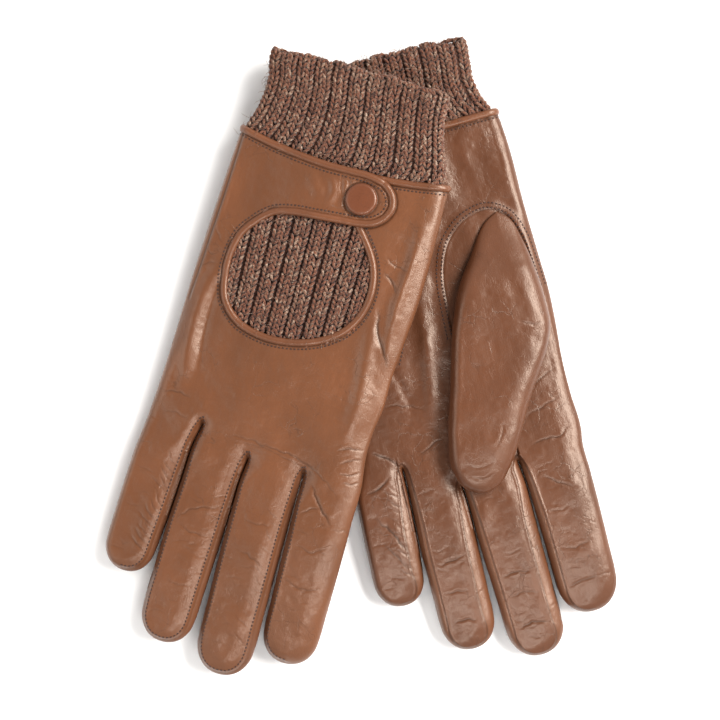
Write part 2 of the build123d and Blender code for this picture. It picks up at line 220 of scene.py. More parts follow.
class Relief:
    """Folds and creases, kept as heights on a fine grid, and the darkening of the narrow ones: partly dyed
    darker, partly painted shade.
    """

    PITCH = 0.25
    LOW = np.array([-62.0, -232.0])
    SIZE = (496, 1000)
    NARROW = 1.3

    def __init__(self, seed):
        self.grid = np.zeros(self.SIZE)
        self.dye = np.zeros(self.SIZE)
        self.draw = np.random.default_rng(seed)

    def crease(self, points, depth, width, bank=None, steady=False):
        """A valley whose leather is pushed up more on one side. A narrow one wanders unless steady."""
        line = smooth(points, 1.0 if steady else 1.6)
        fine = len(line) > 3 and width < self.NARROW and not steady
        if fine:
            width *= 0.78
            depth *= 0.72
            line[1:-1] += self.draw.normal(0, 0.22, (len(line) - 2, 2))
            line = smooth(line, 0.8)
        if bank is None:
            bank = self.draw.choice([-1, 1])
        margin = 6 * width + 2
        low = np.floor((line.min(0) - margin - self.LOW) / self.PITCH).astype(int).clip(0)
        high = np.ceil((line.max(0) + margin - self.LOW) / self.PITCH).astype(int)
        high = np.minimum(high, self.SIZE)
        gx = self.LOW[0] + np.arange(low[0], high[0]) * self.PITCH
        gy = self.LOW[1] + np.arange(low[1], high[1]) * self.PITCH
        if not len(gx) or not len(gy):
            return
        p = np.stack(np.meshgrid(gx, gy, indexing="ij"), -1)
        best = np.full(p.shape[:2], 1e9)
        signed = np.zeros(p.shape[:2])
        share = np.zeros(p.shape[:2])
        for k in range(len(line) - 1):
            a = line[k]
            b = line[k + 1] - a
            t = np.clip(((p - a) @ b) / (b @ b), 0, 1)
            off = p - a - t[..., None] * b
            d = np.hypot(off[..., 0], off[..., 1])
            nearer = d < best
            best = np.where(nearer, d, best)
            side = np.sign(b[0] * off[..., 1] - b[1] * off[..., 0])
            signed = np.where(nearer, d * side, signed)
            share = np.where(nearer, (k + t) / (len(line) - 1), share)
        fade = np.clip(np.sin(np.pi * np.clip(share, 0, 1)), 0, 1) ** (0.15 if steady else 0.8)
        valley = -hump(best, 0, width)
        raised = (0.30 if fine else 0.62) * hump(signed * bank, 2.1 * width, 1.7 * width)
        lesser = (0.08 if fine else 0.22) * hump(signed * bank, -2.0 * width, 1.6 * width)
        area = (slice(low[0], high[0]), slice(low[1], high[1]))
        self.grid[area] += depth * fade * (valley + raised + lesser)
        # A narrow crease is darkened along its floor: partly dyed darker, partly painted shade in the
        # crease.
        if width < self.NARROW:
            stain_and_shade = min(1.0, depth / 0.35) * fade * hump(best, 0, 0.55 * width)
            self.dye[area] = np.maximum(self.dye[area], stain_and_shade)

    def fold(self, folds):
        for line, depth, width in folds:
            self.crease(line, depth, width)

    def __call__(self, xy, dye=False):
        p = (xy - self.LOW) / self.PITCH
        p = np.clip(p, 0, np.array(self.SIZE) - 1.01)
        i = np.floor(p).astype(int)
        return between(self.dye if dye else self.grid, i[:, 0], i[:, 1], p - i)


class Finger:
    """A finger's axis, from the root row of the hand, and its outline."""

    # Length of the round tip over the finger's width there
    TIP = 0.56

    def __init__(self, name, root, lean, reach, bend, width, tip):
        self.name = name
        self.base = np.array([root, -ROOT])
        lean = math.radians(lean)
        self.along = np.array([math.sin(lean), -math.cos(lean)])
        self.across = np.array([math.cos(lean), math.sin(lean)])
        self.reach = reach
        self.bend = bend
        self.width = width
        self.tip = tip
        self.shoulder = reach - self.TIP * tip

    def at(self, s, offset):
        return self.base + s * self.along + offset * self.across

    def half(self, s):
        """Half the width at a distance along, with a slight swell past the middle."""
        t = np.clip(s / self.shoulder, 0, 1)
        return 0.5 * (self.width + (self.tip - self.width) * t) + 0.35 * math.sin(math.pi * t)

    def side(self, sign, start):
        """Points along one side, from a distance along to where the tip begins to round."""
        return [self.at(s, sign * self.half(s)) for s in np.linspace(start, self.shoulder, 6)]

    def cap(self):
        """Points round the tip, from the little finger's side."""
        half = self.half(self.shoulder)
        long = self.TIP * self.tip
        points = []
        for angle in np.radians(np.arange(15, 166, 15)):
            squared = abs(math.cos(angle)) ** 0.92 * math.copysign(1, math.cos(angle))
            points.append(self.at(self.shoulder + long * math.sin(angle), -half * squared))
        return points

    def local(self, xy):
        """Distances along and across the finger."""
        return (xy - self.base) @ self.along, (xy - self.base) @ self.across

    def beside(self, a, play=SIDE_PLAY):
        """Which distances across belong to the finger."""
        return np.abs(a) < self.width / 2 + play

    def in_stall(self, xy):
        """Which points lie in the finger's stall, which starts before the bend."""
        s, a = self.local(xy)
        return (s > self.bend - STALL_START) & self.beside(a)


def cuff_height(x, side=1):
    """Height of the cuff edge, which dips at the back of the hand and hardly at the palm."""
    radius = (CUFF_HALF ** 2 + CUFF_DIP ** 2) / (2 * CUFF_DIP)
    dipped = radius - CUFF_DIP - np.sqrt(radius ** 2 - np.asarray(x, float) ** 2)
    return dipped * (1 if side > 0 else PALM_DIP)


# Points along the cut edge of the back panel: down the underlap, round the window and along
# the strap to its tip and back
UNDERLAP = [(3.6, -5.2), (4.4, -11.0), (8.2, -18.2), (14.4, -24.4)]
WINDOW = [
    (21.3, -31.0), (25.6, -38.0), (27.7, -46.0), (27.0, -56.5), (22.6, -65.6), (13.6, -73.2),
    (2.0, -77.6), (-11.0, -78.6), (-22.4, -75.6), (-30.0, -68.6), (-33.2, -58.0),
    (-33.3, -47.0), (-31.2, -39.0), (-26.4, -32.8),
]
STRAP_LOWER = [(STRAP_ROOT, -28.2), (-12.0, -26.4), (-3.0, -25.4), (6.5, -24.3), (14.0, -23.4)]
STRAP_TIP = [(19.4, -21.8), (23.2, -18.4), (24.7, -14.2), (23.4, -9.6), (19.6, -6.2), (14.0, -4.8)]
STRAP_UPPER = [(5.0, -4.7), (-5.0, -4.8), (-12.0, -4.5), (STRAP_ROOT, float(cuff_height(STRAP_ROOT)))]

# The path that the binding's middle follows: inside the window's points, and in line with the
# cuff's binding along the strap's upper edge. The strap begins at the path's root point.
edge_path = smooth(UNDERLAP + WINDOW + STRAP_LOWER + STRAP_TIP + STRAP_UPPER)
root_at = int(np.argmin(np.hypot(*(edge_path - np.array(STRAP_LOWER[0])).T)))
edge_run = np.arange(len(edge_path)) * EDGE_STEP
root_run = root_at * EDGE_STEP
window_share = smoothstep(18, 32, edge_run) * smoothstep(root_run, root_run - 12, edge_run)
upper_share = np.where(edge_run > root_run + 45, smoothstep(15, -8, edge_path[:, 0]), 0)
edge_shift = CUFF_BINDING * upper_share - WINDOW_IN * window_share
edge_path = edge_path + normals_2d(edge_path) * edge_shift[:, None]
window_edge = edge_path[:root_at + 1]
strap_edge = edge_path[root_at:]
root_line = resample([strap_edge[0], strap_edge[-1]], EDGE_STEP)

# The cuff edge of each face, and the closed outlines that they make with the binding's path
cuff_x = np.arange(-CUFF_END, CUFF_END + 0.05, EDGE_STEP)
cuff_line = np.stack([cuff_x, cuff_height(cuff_x)], 1)
palm_cuff = np.stack([cuff_x, cuff_height(cuff_x, -1)], 1)[::-1]
underlap_cuff = cuff_line[cuff_line[:, 0] > UNDERLAP[0][0] + 0.3][::-1]
little_cuff = cuff_line[cuff_line[:, 0] < STRAP_ROOT - 0.3][::-1]
back_rest = np.vstack([underlap_cuff, window_edge, root_line[1:], little_cuff])
window_hole = np.vstack([window_edge, root_line[1:]])
EDGE_NEAR = Near(resample(edge_path, 0.2))


def binding_groove(xy, side):
    """The narrow groove beside the bindings, from 0 to 1."""
    from_cuff = cuff_height(np.clip(xy[:, 0], -CUFF_HALF, CUFF_HALF), side) - xy[:, 1]
    groove = hump(from_cuff, CUFF_BINDING + BINDING_HALF + 0.1, 0.4)
    if side > 0:
        close = (xy[:, 1] > -84) & (xy[:, 0] < 32)
        beside = np.zeros(len(xy))
        beside[close] = hump(EDGE_NEAR(xy[close])[0], BINDING_HALF + 0.05, 0.4)
        groove = np.maximum(groove, beside)
    return groove


class Glove:
    """One glove: its frame, outline, droop and the height of its two faces."""

    # Height, size and seed of the gentle waves in the leather
    WAVES = ((0.34, 19.0, 11), (0.16, 8.5, 21), (0.05, 3.4, 31), (0.025, 1.6, 33))

    def __init__(self, side, up, half, thumb_thick, fingers, crotches, little, index, knit):
        self.side = side
        self.up = up
        self.half = half
        self.fingers = fingers
        self.crotches = [np.array(c) for c in crotches]
        self.thumb_thick = thumb_thick
        self.knit = knit
        swing = joints[f"{side}_thumb_swing"]
        fold = joints[f"{side}_strap_fold"]
        self.z = unit(swing["axis"])
        self.y = unit(fold["axis"]) * -up
        self.x = np.cross(self.y, self.z)
        height = -up * (half + THUMB_GAP + thumb_thick / 2)
        self.origin = np.array(swing["pos_m"]) / MM
        self.origin -= THUMB[0] * self.x + THUMB[1] * self.y + height * self.z
        self.slopes = [self.droop(f) for f in fingers]
        self.chains = self.outline(little, index)
        self.contour = np.vstack([c[:-1] for c in self.chains[:-1]] + [self.chains[-1]])
        self.rolled = Near(np.vstack([resample(c, 0.1) for c in self.chains]))
        self.relief = {1: Relief(500 + up), -1: Relief(510 + up)}
        self.seams = {}

    def droop(self, finger):
        """How steeply a finger leans down beyond its bend so that its tip lies down."""
        x, y = finger.at(finger.bend, 0)
        at = self.origin + x * self.x + y * self.y
        along = finger.along[0] * self.x + finger.along[1] * self.y
        across = finger.across[0] * self.x + finger.across[1] * self.y
        drop = at[2] - self.half - finger.tip / 2 * abs(across[2])
        length = finger.reach - finger.bend
        return math.asin(drop / length) + math.asin(along[2])

    def outline(self, little, index):
        """Four smooth chains: round each finger from crotch to crotch, and up the outer sides."""
        chains = []
        last = len(self.fingers) - 1
        for k, finger in enumerate(self.fingers):
            start = 16 if k == 0 else -self.crotches[k - 1][1] - ROOT + 9
            stop = 16 if k == last else -self.crotches[k][1] - ROOT + 9
            points = list(little) if k == 0 else [self.crotches[k - 1]]
            points += finger.side(-1, start)
            points += finger.cap()
            points += finger.side(1, stop)[::-1]
            points += list(index) if k == last else [self.crotches[k]]
            chains.append(smooth(points))
        for k, crotch in enumerate(self.crotches):
            self.settle(chains, k, crotch)
        return chains

    def settle(self, chains, k, crotch):
        """Keep two neighbouring fingers just apart, and close together near their crotch."""
        tip = int(np.argmax(self.fingers[k].local(chains[k])[0]))
        next_tip = int(np.argmax(self.fingers[k + 1].local(chains[k + 1])[0]))
        right = chains[k][tip:]
        left = chains[k + 1][:next_tip + 1][::-1]
        lowest = max(right[0, 1], left[0, 1]) + 12
        moves = []
        for part in (right, left):
            y = part[:, 1]
            gap = np.interp(y, left[:, 1], left[:, 0]) - np.interp(y, right[:, 1], right[:, 0])
            room = crotch[1] - y
            wanted = FINGER_GAP + np.clip(gap - FINGER_GAP, 0, None) * smoothstep(8, 45, room)
            share = smoothstep(0, 1.5, room) * smoothstep(lowest, lowest + 8, y)
            moves.append(0.5 * (gap - wanted) * share)
        right[:, 0] += moves[0]
        left[:, 0] -= moves[1]

    def flank(self, k, sign, inset, tip_inset, extra):
        """One side of a finger, moved inwards, from the tip up to the crotch."""
        chain = self.chains[k]
        inward = normals_2d(chain)
        tip = int(np.argmax(self.fingers[k].local(chain)[0]))
        if sign > 0:
            part, inward = chain[tip:], inward[tip:]
        else:
            part, inward = chain[:tip + 1][::-1], inward[:tip + 1][::-1]
        run = np.r_[0, np.cumsum(np.linalg.norm(np.diff(part, axis=0), axis=1))]
        room = run[-1] - run
        amount = tip_inset + (inset - tip_inset) * smoothstep(3, 22, run)
        amount = amount * (0.6 + 0.4 * smoothstep(1, 28, room)) + extra
        line = (part + inward * amount[:, None])[room > 2.5]
        return resample(line, 3.0)

    def valley_seams(self, low_inset, high_inset, apex, tip_inset, extra=0.0):
        """Seam lines round each crotch: up one finger's side and down the next one's."""
        lines = []
        for k, crotch in enumerate(self.crotches):
            rising = self.flank(k, 1, low_inset, tip_inset, extra)
            falling = self.flank(k + 1, -1, high_inset, tip_inset, extra)
            top = crotch + np.array([0.0, apex + 1.3 * extra])
            lines.append(smooth(np.vstack([rising, top[None], falling[::-1]]), 0.25))
        return lines

    def set_seams(self, side, *insets):
        """Remember the seams of one face, with the side of each line that the panel is on."""
        lines = self.valley_seams(*insets)
        samples = np.vstack(lines)
        flanks = np.vstack([normals_2d(line) for line in lines])
        self.seams[side] = (lines, Near(samples), flanks)

    def seam_distance(self, xy, side):
        """Signed distance from the finger seams, positive on the panel."""
        _, near, flanks = self.seams[side]
        d, i = near(xy)
        away = xy - near.points[i]
        sign = np.sign((away * flanks[i]).sum(1))
        return d * sign

    def cavity(self, xy, side):
        """How deep in a seam, crease or groove a point is, from 0 to 1, for darkening the leather there:
        dyed darker along the seam lines, painted shade in the grooves beside the bindings, and both in the
        creases.
        """
        depth = 0.85 * self.relief[side](xy, dye=True)
        t = self.seam_distance(xy, side)
        line = (0.18 if side > 0 else 0.42) * hump(t, 0, 0.30)
        return np.maximum(np.maximum(depth, line), 0.55 * binding_groove(xy, side))

    def fullness(self, xy):
        """How thick each part stands, and how wide its sides are rolled."""
        on_finger = smoothstep(-ROOT + 6, -ROOT - 16, xy[:, 1])
        index_roll = INDEX_ROLL + 4.5 * smoothstep(-55, -105, xy[:, 1])
        if self.up < 0:
            index_roll -= 2.8 * smoothstep(-75, -45, xy[:, 1])
        roll = index_roll + (LITTLE_ROLL - index_roll) * smoothstep(10, -30, xy[:, 0])
        finger_roll = np.full(len(xy), FINGER_ROLL)
        full = np.full(len(xy), self.half)
        full += hump(xy[:, 0], 4, 32) * hump(xy[:, 1], -100, 34)
        full += 0.9 * on_finger
        for finger in self.fingers:
            s, a = finger.local(xy)
            mine = finger.beside(a, 1) & (s > 20)
            full = np.where(mine, full - 0.9 * smoothstep(finger.reach - 26, finger.reach, s), full)
            mine = finger.beside(a, 1) & (s > 0)
            leaning = FINGER_ROLL * (0.36 + 0.72 * smoothstep(-6, 6, a))
            finger_roll = np.where(mine, leaning, finger_roll)
        return full, roll + (finger_roll - roll) * on_finger

    def seam_relief(self, xy, side, d):
        """Height of the leather beside the finger seams, which ends at the outline."""
        t = self.seam_distance(xy, side)
        if side > 0:
            relief = -0.45 * hump(t, 0, 0.3) + 0.20 * hump(t, 0.8, 0.6)
            relief -= 0.30 * smoothstep(0.1, -0.5, t) * smoothstep(-5, -2, t)
        else:
            relief = -0.16 * hump(t, 0, 0.28) + 0.24 * hump(t, 0.5, 0.34)
        return relief * smoothstep(0, 0.7, d)

    def height(self, xy, side, over=False):
        """Height of a face over the mid-plane. With over, the back's height on the strap."""
        d, _ = self.rolled(xy)
        full, roll = self.fullness(xy)
        level = full * dome(d / roll)
        level += waves(xy, self.WAVES, side) * np.clip(d / 5, 0, 1)
        if side > 0:
            lift = STRAP_LIFT * smoothstep(-34, -6, xy[:, 0]) * smoothstep(-46, -30, xy[:, 1])
            level += np.where((xy[:, 0] < FOLD_X + 2) | over, lift, 0)
        level += self.relief[side](xy) * np.clip(d / 1.6, 0, 1)
        level -= 0.28 * binding_groove(xy, side)
        if over:
            return level
        return level + self.seam_relief(xy, side, d)

    def place(self, xy, height):
        """Points of the glove's frame in the row frame, with the fingers drooping smoothly."""
        height = np.broadcast_to(height, (len(xy),))
        world = self.origin + np.outer(xy[:, 0], self.x) + np.outer(xy[:, 1], self.y)
        world = world + np.outer(self.up * height, self.z)
        for finger, slope in zip(self.fingers, self.slopes):
            s, a = finger.local(xy)
            mine = finger.beside(a) & (s > 10)
            beyond = s - finger.bend
            easing = np.clip(beyond + DROOP_HALF, 0, 2 * DROOP_HALF) ** 2 / (4 * DROOP_HALF)
            lowered = np.where(beyond > DROOP_HALF, beyond, easing)
            world[:, 2] -= np.where(mine, math.tan(slope) * lowered, 0)
        return world * MM


# Building meshes

def new_object(name, vertices, faces, material, normals=None, attributes=None):
    """A mesh object from arrays of points and triangles, shaded smooth."""
    mesh = bpy.data.meshes.new(name)
    faces = np.asarray(faces, np.int32)
    mesh.vertices.add(len(vertices))
    mesh.vertices.foreach_set("co", np.asarray(vertices, np.float32).ravel())
    mesh.loops.add(faces.size)
    mesh.loops.foreach_set("vertex_index", faces.ravel())
    mesh.polygons.add(len(faces))
    mesh.polygons.foreach_set("loop_start", np.arange(0, faces.size, 3, dtype=np.int32))
    mesh.polygons.foreach_set("use_smooth", np.ones(len(faces), bool))
    mesh.update(calc_edges=True)
    for key, values in (attributes or {}).items():
        kind = "FLOAT_VECTOR" if values.ndim == 2 else "FLOAT"
        layer = mesh.attributes.new(key, kind, "POINT")
        field = "vector" if values.ndim == 2 else "value"
        layer.data.foreach_set(field, values.astype(np.float32).ravel())
    if normals is not None:
        mesh.normals_split_custom_set_from_vertices(normals)
    mesh.materials.append(material)
    made = bpy.data.objects.new(name, mesh)
    bpy.context.scene.collection.objects.link(made)
    return made


def vertex_normals(points, faces):
    """Normals of the points: the means of their triangles' normals, weighted by area."""
    corners = points[faces]
    across = np.cross(corners[:, 1] - corners[:, 0], corners[:, 2] - corners[:, 0])
    total = np.zeros_like(points)
    for k in range(3):
        np.add.at(total, faces[:, k], across)
    return total / np.maximum(np.linalg.norm(total, axis=1), 1e-12)[:, None]


def inside(points, loop):
    """Which points lie inside a closed loop."""
    result = np.zeros(len(points), bool)
    ends = np.roll(loop, -1, axis=0)
    for a, b in zip(loop, ends):
        crosses = (a[1] > points[:, 1]) != (b[1] > points[:, 1])
        if crosses.any():
            x = a[0] + (points[:, 1] - a[1]) / (b[1] - a[1] + 1e-12) * (b[0] - a[0])
            result ^= crosses & (points[:, 0] < x)
    return result


def triangulate(loop, extra, clear, pitch):
    """Fill a closed loop with triangles, through the extra points and through an even scatter
    that stays clear of the loop."""
    low = loop.min(0)
    high = loop.max(0)
    rows = np.arange(low[1], high[1], pitch * 0.866)
    scatter = []
    for k, y in enumerate(rows):
        x = np.arange(low[0] + (k % 2) * pitch / 2, high[0], pitch)
        scatter.append(np.stack([x, np.full(len(x), y)], 1))
    scatter = np.vstack(scatter)
    near_loop, _ = Near(loop)(scatter)
    keep = near_loop > clear
    if len(extra):
        near_extra, _ = Near(extra)(scatter)
        keep &= near_extra > 0.62 * pitch
    scatter = scatter[keep]
    points = np.vstack([loop] + ([extra] if len(extra) else []) + [scatter])
    edges = [(i, (i + 1) % len(loop)) for i in range(len(loop))]
    ring = list(range(len(loop)))
    made = delaunay_2d_cdt([Vector(p) for p in points], edges, [ring], 1, 1e-6, False)
    flat = np.array([tuple(v) for v in made[0]])
    faces = np.array([f for f in made[2] if len(f) == 3], int)
    a, b, c = flat[faces[:, 0]], flat[faces[:, 1]], flat[faces[:, 2]]
    area = (b[:, 0] - a[:, 0]) * (c[:, 1] - a[:, 1]) - (b[:, 1] - a[:, 1]) * (c[:, 0] - a[:, 0])
    faces[area < 0] = faces[area < 0][:, ::-1]
    kept = (np.abs(area) > 1e-7) & inside(flat[faces].mean(1), loop)
    return flat, faces[kept]


def edge_rings(line):
    """Extra points just inside a rolled edge, where the surface turns fastest."""
    inward = normals_2d(line)
    near = Near(line)
    rings = []
    for offset in (0.12, 0.36, 0.8):
        ring = line + inward * offset
        d, _ = near(ring)
        rings.append(ring[d > 0.93 * offset])
    return np.vstack(rings)


def split_face(glove, side, flat, faces, high):
    """Cut one face of the glove into its hand and finger pieces, which share their normals."""
    rim, i = Near(glove.contour)(flat)
    on_rim = rim < 0.01
    high = np.where(on_rim, 0, high)
    world = glove.place(flat, side * high)
    if glove.up * side < 0:
        faces = faces[:, ::-1]
    normals = vertex_normals(world, faces)
    inward = normals_2d(glove.contour)[i]
    outward = -np.outer(inward[:, 0], glove.x) - np.outer(inward[:, 1], glove.y)
    normals[on_rim] = outward[on_rim]
    cavity = glove.cavity(flat, side)
    centre = flat[faces].mean(1)
    body = np.full(len(faces), -1)
    for k, finger in enumerate(glove.fingers):
        body[finger.in_stall(centre)] = k
    wall = glove.seam_distance(centre, side) < 0
    s_all = np.stack([f.local(centre)[0] for f in glove.fingers])
    near_crotch = np.min([np.hypot(*(centre - c).T) for c in glove.crotches], axis=0) < CROTCH_WALL
    wall &= (s_all.max(0) > 0) | near_crotch
    far, _ = glove.seams[side][1](centre)
    wall &= far < WALL_DEPTH
    pieces = {}
    grain = np.stack([flat[:, 0], flat[:, 1], side * high], 1)
    for k in range(-1, len(glove.fingers)):
        for is_wall in (False, True):
            chosen = faces[(body == k) & (wall == is_wall)]
            if not len(chosen):
                continue
            used, local = np.unique(chosen, return_inverse=True)
            pieces[(k, is_wall)] = {
                "points": world[used],
                "faces": local.reshape(chosen.shape),
                "normals": normals[used],
                "grain": grain[used],
                "cavity": cavity[used],
            }
    return pieces


def join(parts):
    """One set of mesh arrays from several."""
    counts = np.cumsum([0] + [len(p["points"]) for p in parts])
    joined = {key: np.concatenate([p[key] for p in parts]) for key in parts[0] if key != "faces"}
    joined["faces"] = np.concatenate([p["faces"] + n for p, n in zip(parts, counts)])
    return joined


def from_arrays(name, parts, material):
    """A mesh object from pieces of the glove's faces."""
    data = join(parts)
    return new_object(
        name, data["points"], data["faces"], material, data["normals"],
        {"grain": data["grain"], "cavity": data["cavity"]},
    )


def grid_faces(rows, columns, closed_rows=False, closed_columns=False):
    """Triangles between the points of a grid, which can close on itself either way."""
    at = np.arange(rows * columns).reshape(rows, columns)
    if closed_rows:
        at = np.vstack([at, at[:1]])
    if closed_columns:
        at = np.hstack([at, at[:, :1]])
    a, b, c, d = at[:-1, :-1], at[1:, :-1], at[1:, 1:], at[:-1, 1:]
    return np.stack([a, b, c, a, c, d], -1).reshape(-1, 3)


def fan(ring, centre):
    """Triangles from a closed ring of points to one centre point."""
    return np.stack([ring, np.roll(ring, -1), np.full(len(ring), centre)], 1)


def tube_faces(rings, sides):
    """Triangles of a closed tube, whose two end points come after its rings."""
    first = np.arange(sides)
    near = rings * sides
    far_end = fan(first + near - sides, near + 1)[:, ::-1]
    return np.vstack([grid_faces(rings, sides, closed_columns=True), fan(first, near), far_end])


def circle(sides):
    return np.arange(sides) * 2 * math.pi / sides


def capsule_template(rings, sides=6):
    """A closed unit capsule along x, from (position, radius) rings, as points and triangles."""
    points = [(x, r * math.cos(a), r * math.sin(a)) for x, r in rings for a in circle(sides)]
    points += [(-1.0, 0.0, 0.0), (1.0, 0.0, 0.0)]
    return np.array(points), tube_faces(len(rings), sides)[:, ::-1]


DASH = capsule_template([(-0.86, 0.62), (-0.4, 1.0), (0.4, 1.0), (0.86, 0.62)])


def capsules(centres, along, up, long, wide, tall):
    """Many little capsules at once: their points and triangles."""
    template, faces = DASH
    side = np.cross(up, along)
    points = (
        centres[:, None]
        + template[None, :, 0:1] * (along * long)[:, None]
        + template[None, :, 1:2] * (side * wide)[:, None]
        + template[None, :, 2:3] * (up * tall)[:, None]
    )
    offset = np.arange(len(centres))[:, None, None] * len(template)
    return points.reshape(-1, 3), (faces[None] + offset).reshape(-1, 3)


def binding_tube(name, path, outward):
    """A binding: a closed flattened tube along points of the row frame, in metres."""
    near_end = path[0] + 0.04 * (path[1] - path[0])
    far_end = path[-1] + 0.04 * (path[-2] - path[-1])
    path = np.vstack([path[:1], near_end, path[1:-1], far_end, path[-1:]])
    outward = np.vstack([outward[:1], outward, outward[-1:]])
    ahead = np.gradient(path, axis=0)
    ahead /= np.linalg.norm(ahead, axis=1)[:, None]
    out = outward - (outward * ahead).sum(1)[:, None] * ahead
    out /= np.linalg.norm(out, axis=1)[:, None]
    side = np.cross(ahead, out)
    turn = circle(BINDING_SIDES)[None, :, None]
    wide = np.cos(turn) * BINDING_HALF * MM * side[:, None]
    tall = np.sin(turn) * BINDING_TALL * MM * out[:, None]
    points = (path[:, None] + wide + tall).reshape(-1, 3)
    points = np.vstack([points, path[:1], path[-1:]])
    faces = tube_faces(len(path), BINDING_SIDES)[:, ::-1]
    return new_object(name, points, faces, edge_leather, attributes={"grain": points / MM})


# Materials

class Nodes:
    """A material's node tree, with short ways to add and join nodes."""

    def __init__(self, name):
        self.material = bpy.data.materials.new(name)
        self.material.use_nodes = True
        self.tree = self.material.node_tree
        self.shader = self.tree.nodes["Principled BSDF"]

    def feed(self, socket, value):
        """Link an output to a socket, or set the socket's own value."""
        if isinstance(value, bpy.types.NodeSocket):
            self.tree.links.new(value, socket)
        else:
            socket.default_value = value

    def set(self, key, value):
        self.feed(self.shader.inputs[key], value)

    def add(self, kind, values=None, **settings):
        node = self.tree.nodes.new(kind)
        for key, value in settings.items():
            setattr(node, key, value)
        for key, value in (values or {}).items():
            self.feed(node.inputs[key], value)
        return node

    def attribute(self, name, output="Fac"):
        return self.add("ShaderNodeAttribute", attribute_name=name).outputs[output]

    def stretched(self, vector, scale):
        return self.add("ShaderNodeMapping", {"Vector": vector, "Scale": scale}).outputs["Vector"]

    def noise(self, vector, scale, detail=3.0, rough=0.55, distortion=0.0):
        values = {"Vector": vector, "Scale": scale, "Detail": detail, "Roughness": rough}
        values["Distortion"] = distortion
        return self.add("ShaderNodeTexNoise", values).outputs["Fac"]

    def ramp(self, factor, stops):
        node = self.add("ShaderNodeValToRGB", {"Fac": factor})
        ramp = node.color_ramp
        while len(ramp.elements) < len(stops):
            ramp.elements.new(0.5)
        for element, (at, colour) in zip(ramp.elements, stops):
            element.position = at
            element.color = (*colour, 1)
        return node.outputs["Color"]

    def spread(self, factor, low, high, out_low, out_high):
        values = {"Value": factor, "From Min": low, "From Max": high, "To Min": out_low, "To Max": out_high}
        return self.add("ShaderNodeMapRange", values).outputs["Result"]

    def mix(self, factor, a, b):
        node = self.add("ShaderNodeMix", data_type="RGBA")
        for socket, value in zip((node.inputs[0], node.inputs[6], node.inputs[7]), (factor, a, b)):
            self.feed(socket, (*value, 1) if isinstance(value, tuple) else value)
        return node.outputs[2]

    def math(self, operation, *values, kind="ShaderNodeMath"):
        node = self.add(kind, operation=operation)
        for socket, value in zip(node.inputs, values):
            self.feed(socket, value)
        return node.outputs[0]

    def cracks(self, vector, scale, width):
        """Thin lines along the borders of random cells, 1 on a line and 0 away from it."""
        values = {"Vector": vector, "Scale": scale, "Randomness": 1.0}
        node = self.add("ShaderNodeTexVoronoi", values, feature="DISTANCE_TO_EDGE")
        return self.spread(node.outputs["Distance"], 0.0, width, 1.0, 0.0)

    def bump(self, height, strength, distance, below=None):
        values = {"Height": height, "Strength": strength, "Distance": distance}
        if below is not None:
            values["Normal"] = below
        return self.add("ShaderNodeBump", values).outputs["Normal"]


def linear(level):
    """A linear value from an 8-bit sRGB one."""
    share = level / 255
    return share / 12.92 if level <= 10 else ((share + 0.055) / 1.055) ** 2.4


def srgb(*levels):
    return tuple(linear(level) for level in levels)


def shaded(colour, factor):
    return tuple(channel * factor for channel in colour)


def leather(name, colour, rough=0.35, folds=1.0):
    """Smooth nappa: fine pores, hairline wrinkles, faint streaks and unevenly dyed colour, with painted
    shade in its creases and grooves.
    """
    n = Nodes(name)
    at = n.attribute("grain", "Vector")
    cloud = n.noise(n.stretched(at, (0.05, 0.03, 0.05)), 1.0, 4.0)
    mottle = n.noise(at, 0.9, 4.0, 0.65)
    streak = n.noise(n.stretched(at, (1.5, 0.09, 1.0)), 1.0, 3.0, 0.6, 0.6)
    warp = n.add("ShaderNodeTexNoise", {"Vector": at, "Scale": 0.16, "Detail": 3.0}).outputs["Color"]
    bent = n.math("MULTIPLY_ADD", warp, (7.0, 7.0, 7.0), at, kind="ShaderNodeVectorMath")
    hairline = n.cracks(bent, 0.13, 0.030)
    hairline = n.math("MULTIPLY", hairline, n.spread(n.noise(at, 0.07), 0.50, 0.64, 0.0, 1.0))
    crackle = n.cracks(n.stretched(bent, (1.0, 0.6, 1.0)), 0.5, 0.10)
    crackle = n.math("MULTIPLY", crackle, n.spread(n.noise(at, 0.11), 0.42, 0.62, 0.0, 1.0))
    base = n.mix(n.spread(cloud, 0.3, 0.7, 0, 1), shaded(colour, 0.82), shaded(colour, 1.15))
    base = n.mix(n.spread(mottle, 0.35, 0.7, 0.0, 0.35), base, shaded(colour, 0.80))
    # Darkened in the creases, the seam lines, the grooves beside the bindings and the hairline wrinkles:
    # dyed darker along the seams and hairlines, painted shade in the grooves, and both in the creases.
    hollow_shade_and_dye = n.spread(n.attribute("cavity"), 0.02, 0.55, 0.0, 0.85)
    dye = n.math("MAXIMUM", hollow_shade_and_dye, n.math("MULTIPLY", hairline, 0.42 * folds))
    n.set("Base Color", n.mix(dye, base, shaded(colour, 0.34)))
    uneven = n.math("ADD", n.math("MULTIPLY", streak, 0.12), n.math("MULTIPLY", mottle, 0.12))
    n.set("Roughness", n.math("ADD", uneven, rough - 0.12))
    pores = n.add("ShaderNodeTexVoronoi", {"Vector": at, "Scale": 1.9, "Randomness": 1.0})
    sunk = n.math("SUBTRACT", 1.0, hairline)
    fine = n.math("SUBTRACT", 1.0, crackle)
    shaped = n.bump(streak, 0.20 * folds, 0.00024)
    shaped = n.bump(sunk, 0.45 * folds, 0.00011, shaped)
    shaped = n.bump(fine, 0.40 * folds, 0.00007, shaped)
    shaped = n.bump(mottle, 0.30 * folds, 0.00014, shaped)
    n.set("Normal", n.bump(pores.outputs["Distance"], 0.22, 0.00007, shaped))
    n.set("Specular IOR Level", 0.62)
    n.set("Specular Tint", (1.0, 0.86, 0.74, 1))
    return n.material


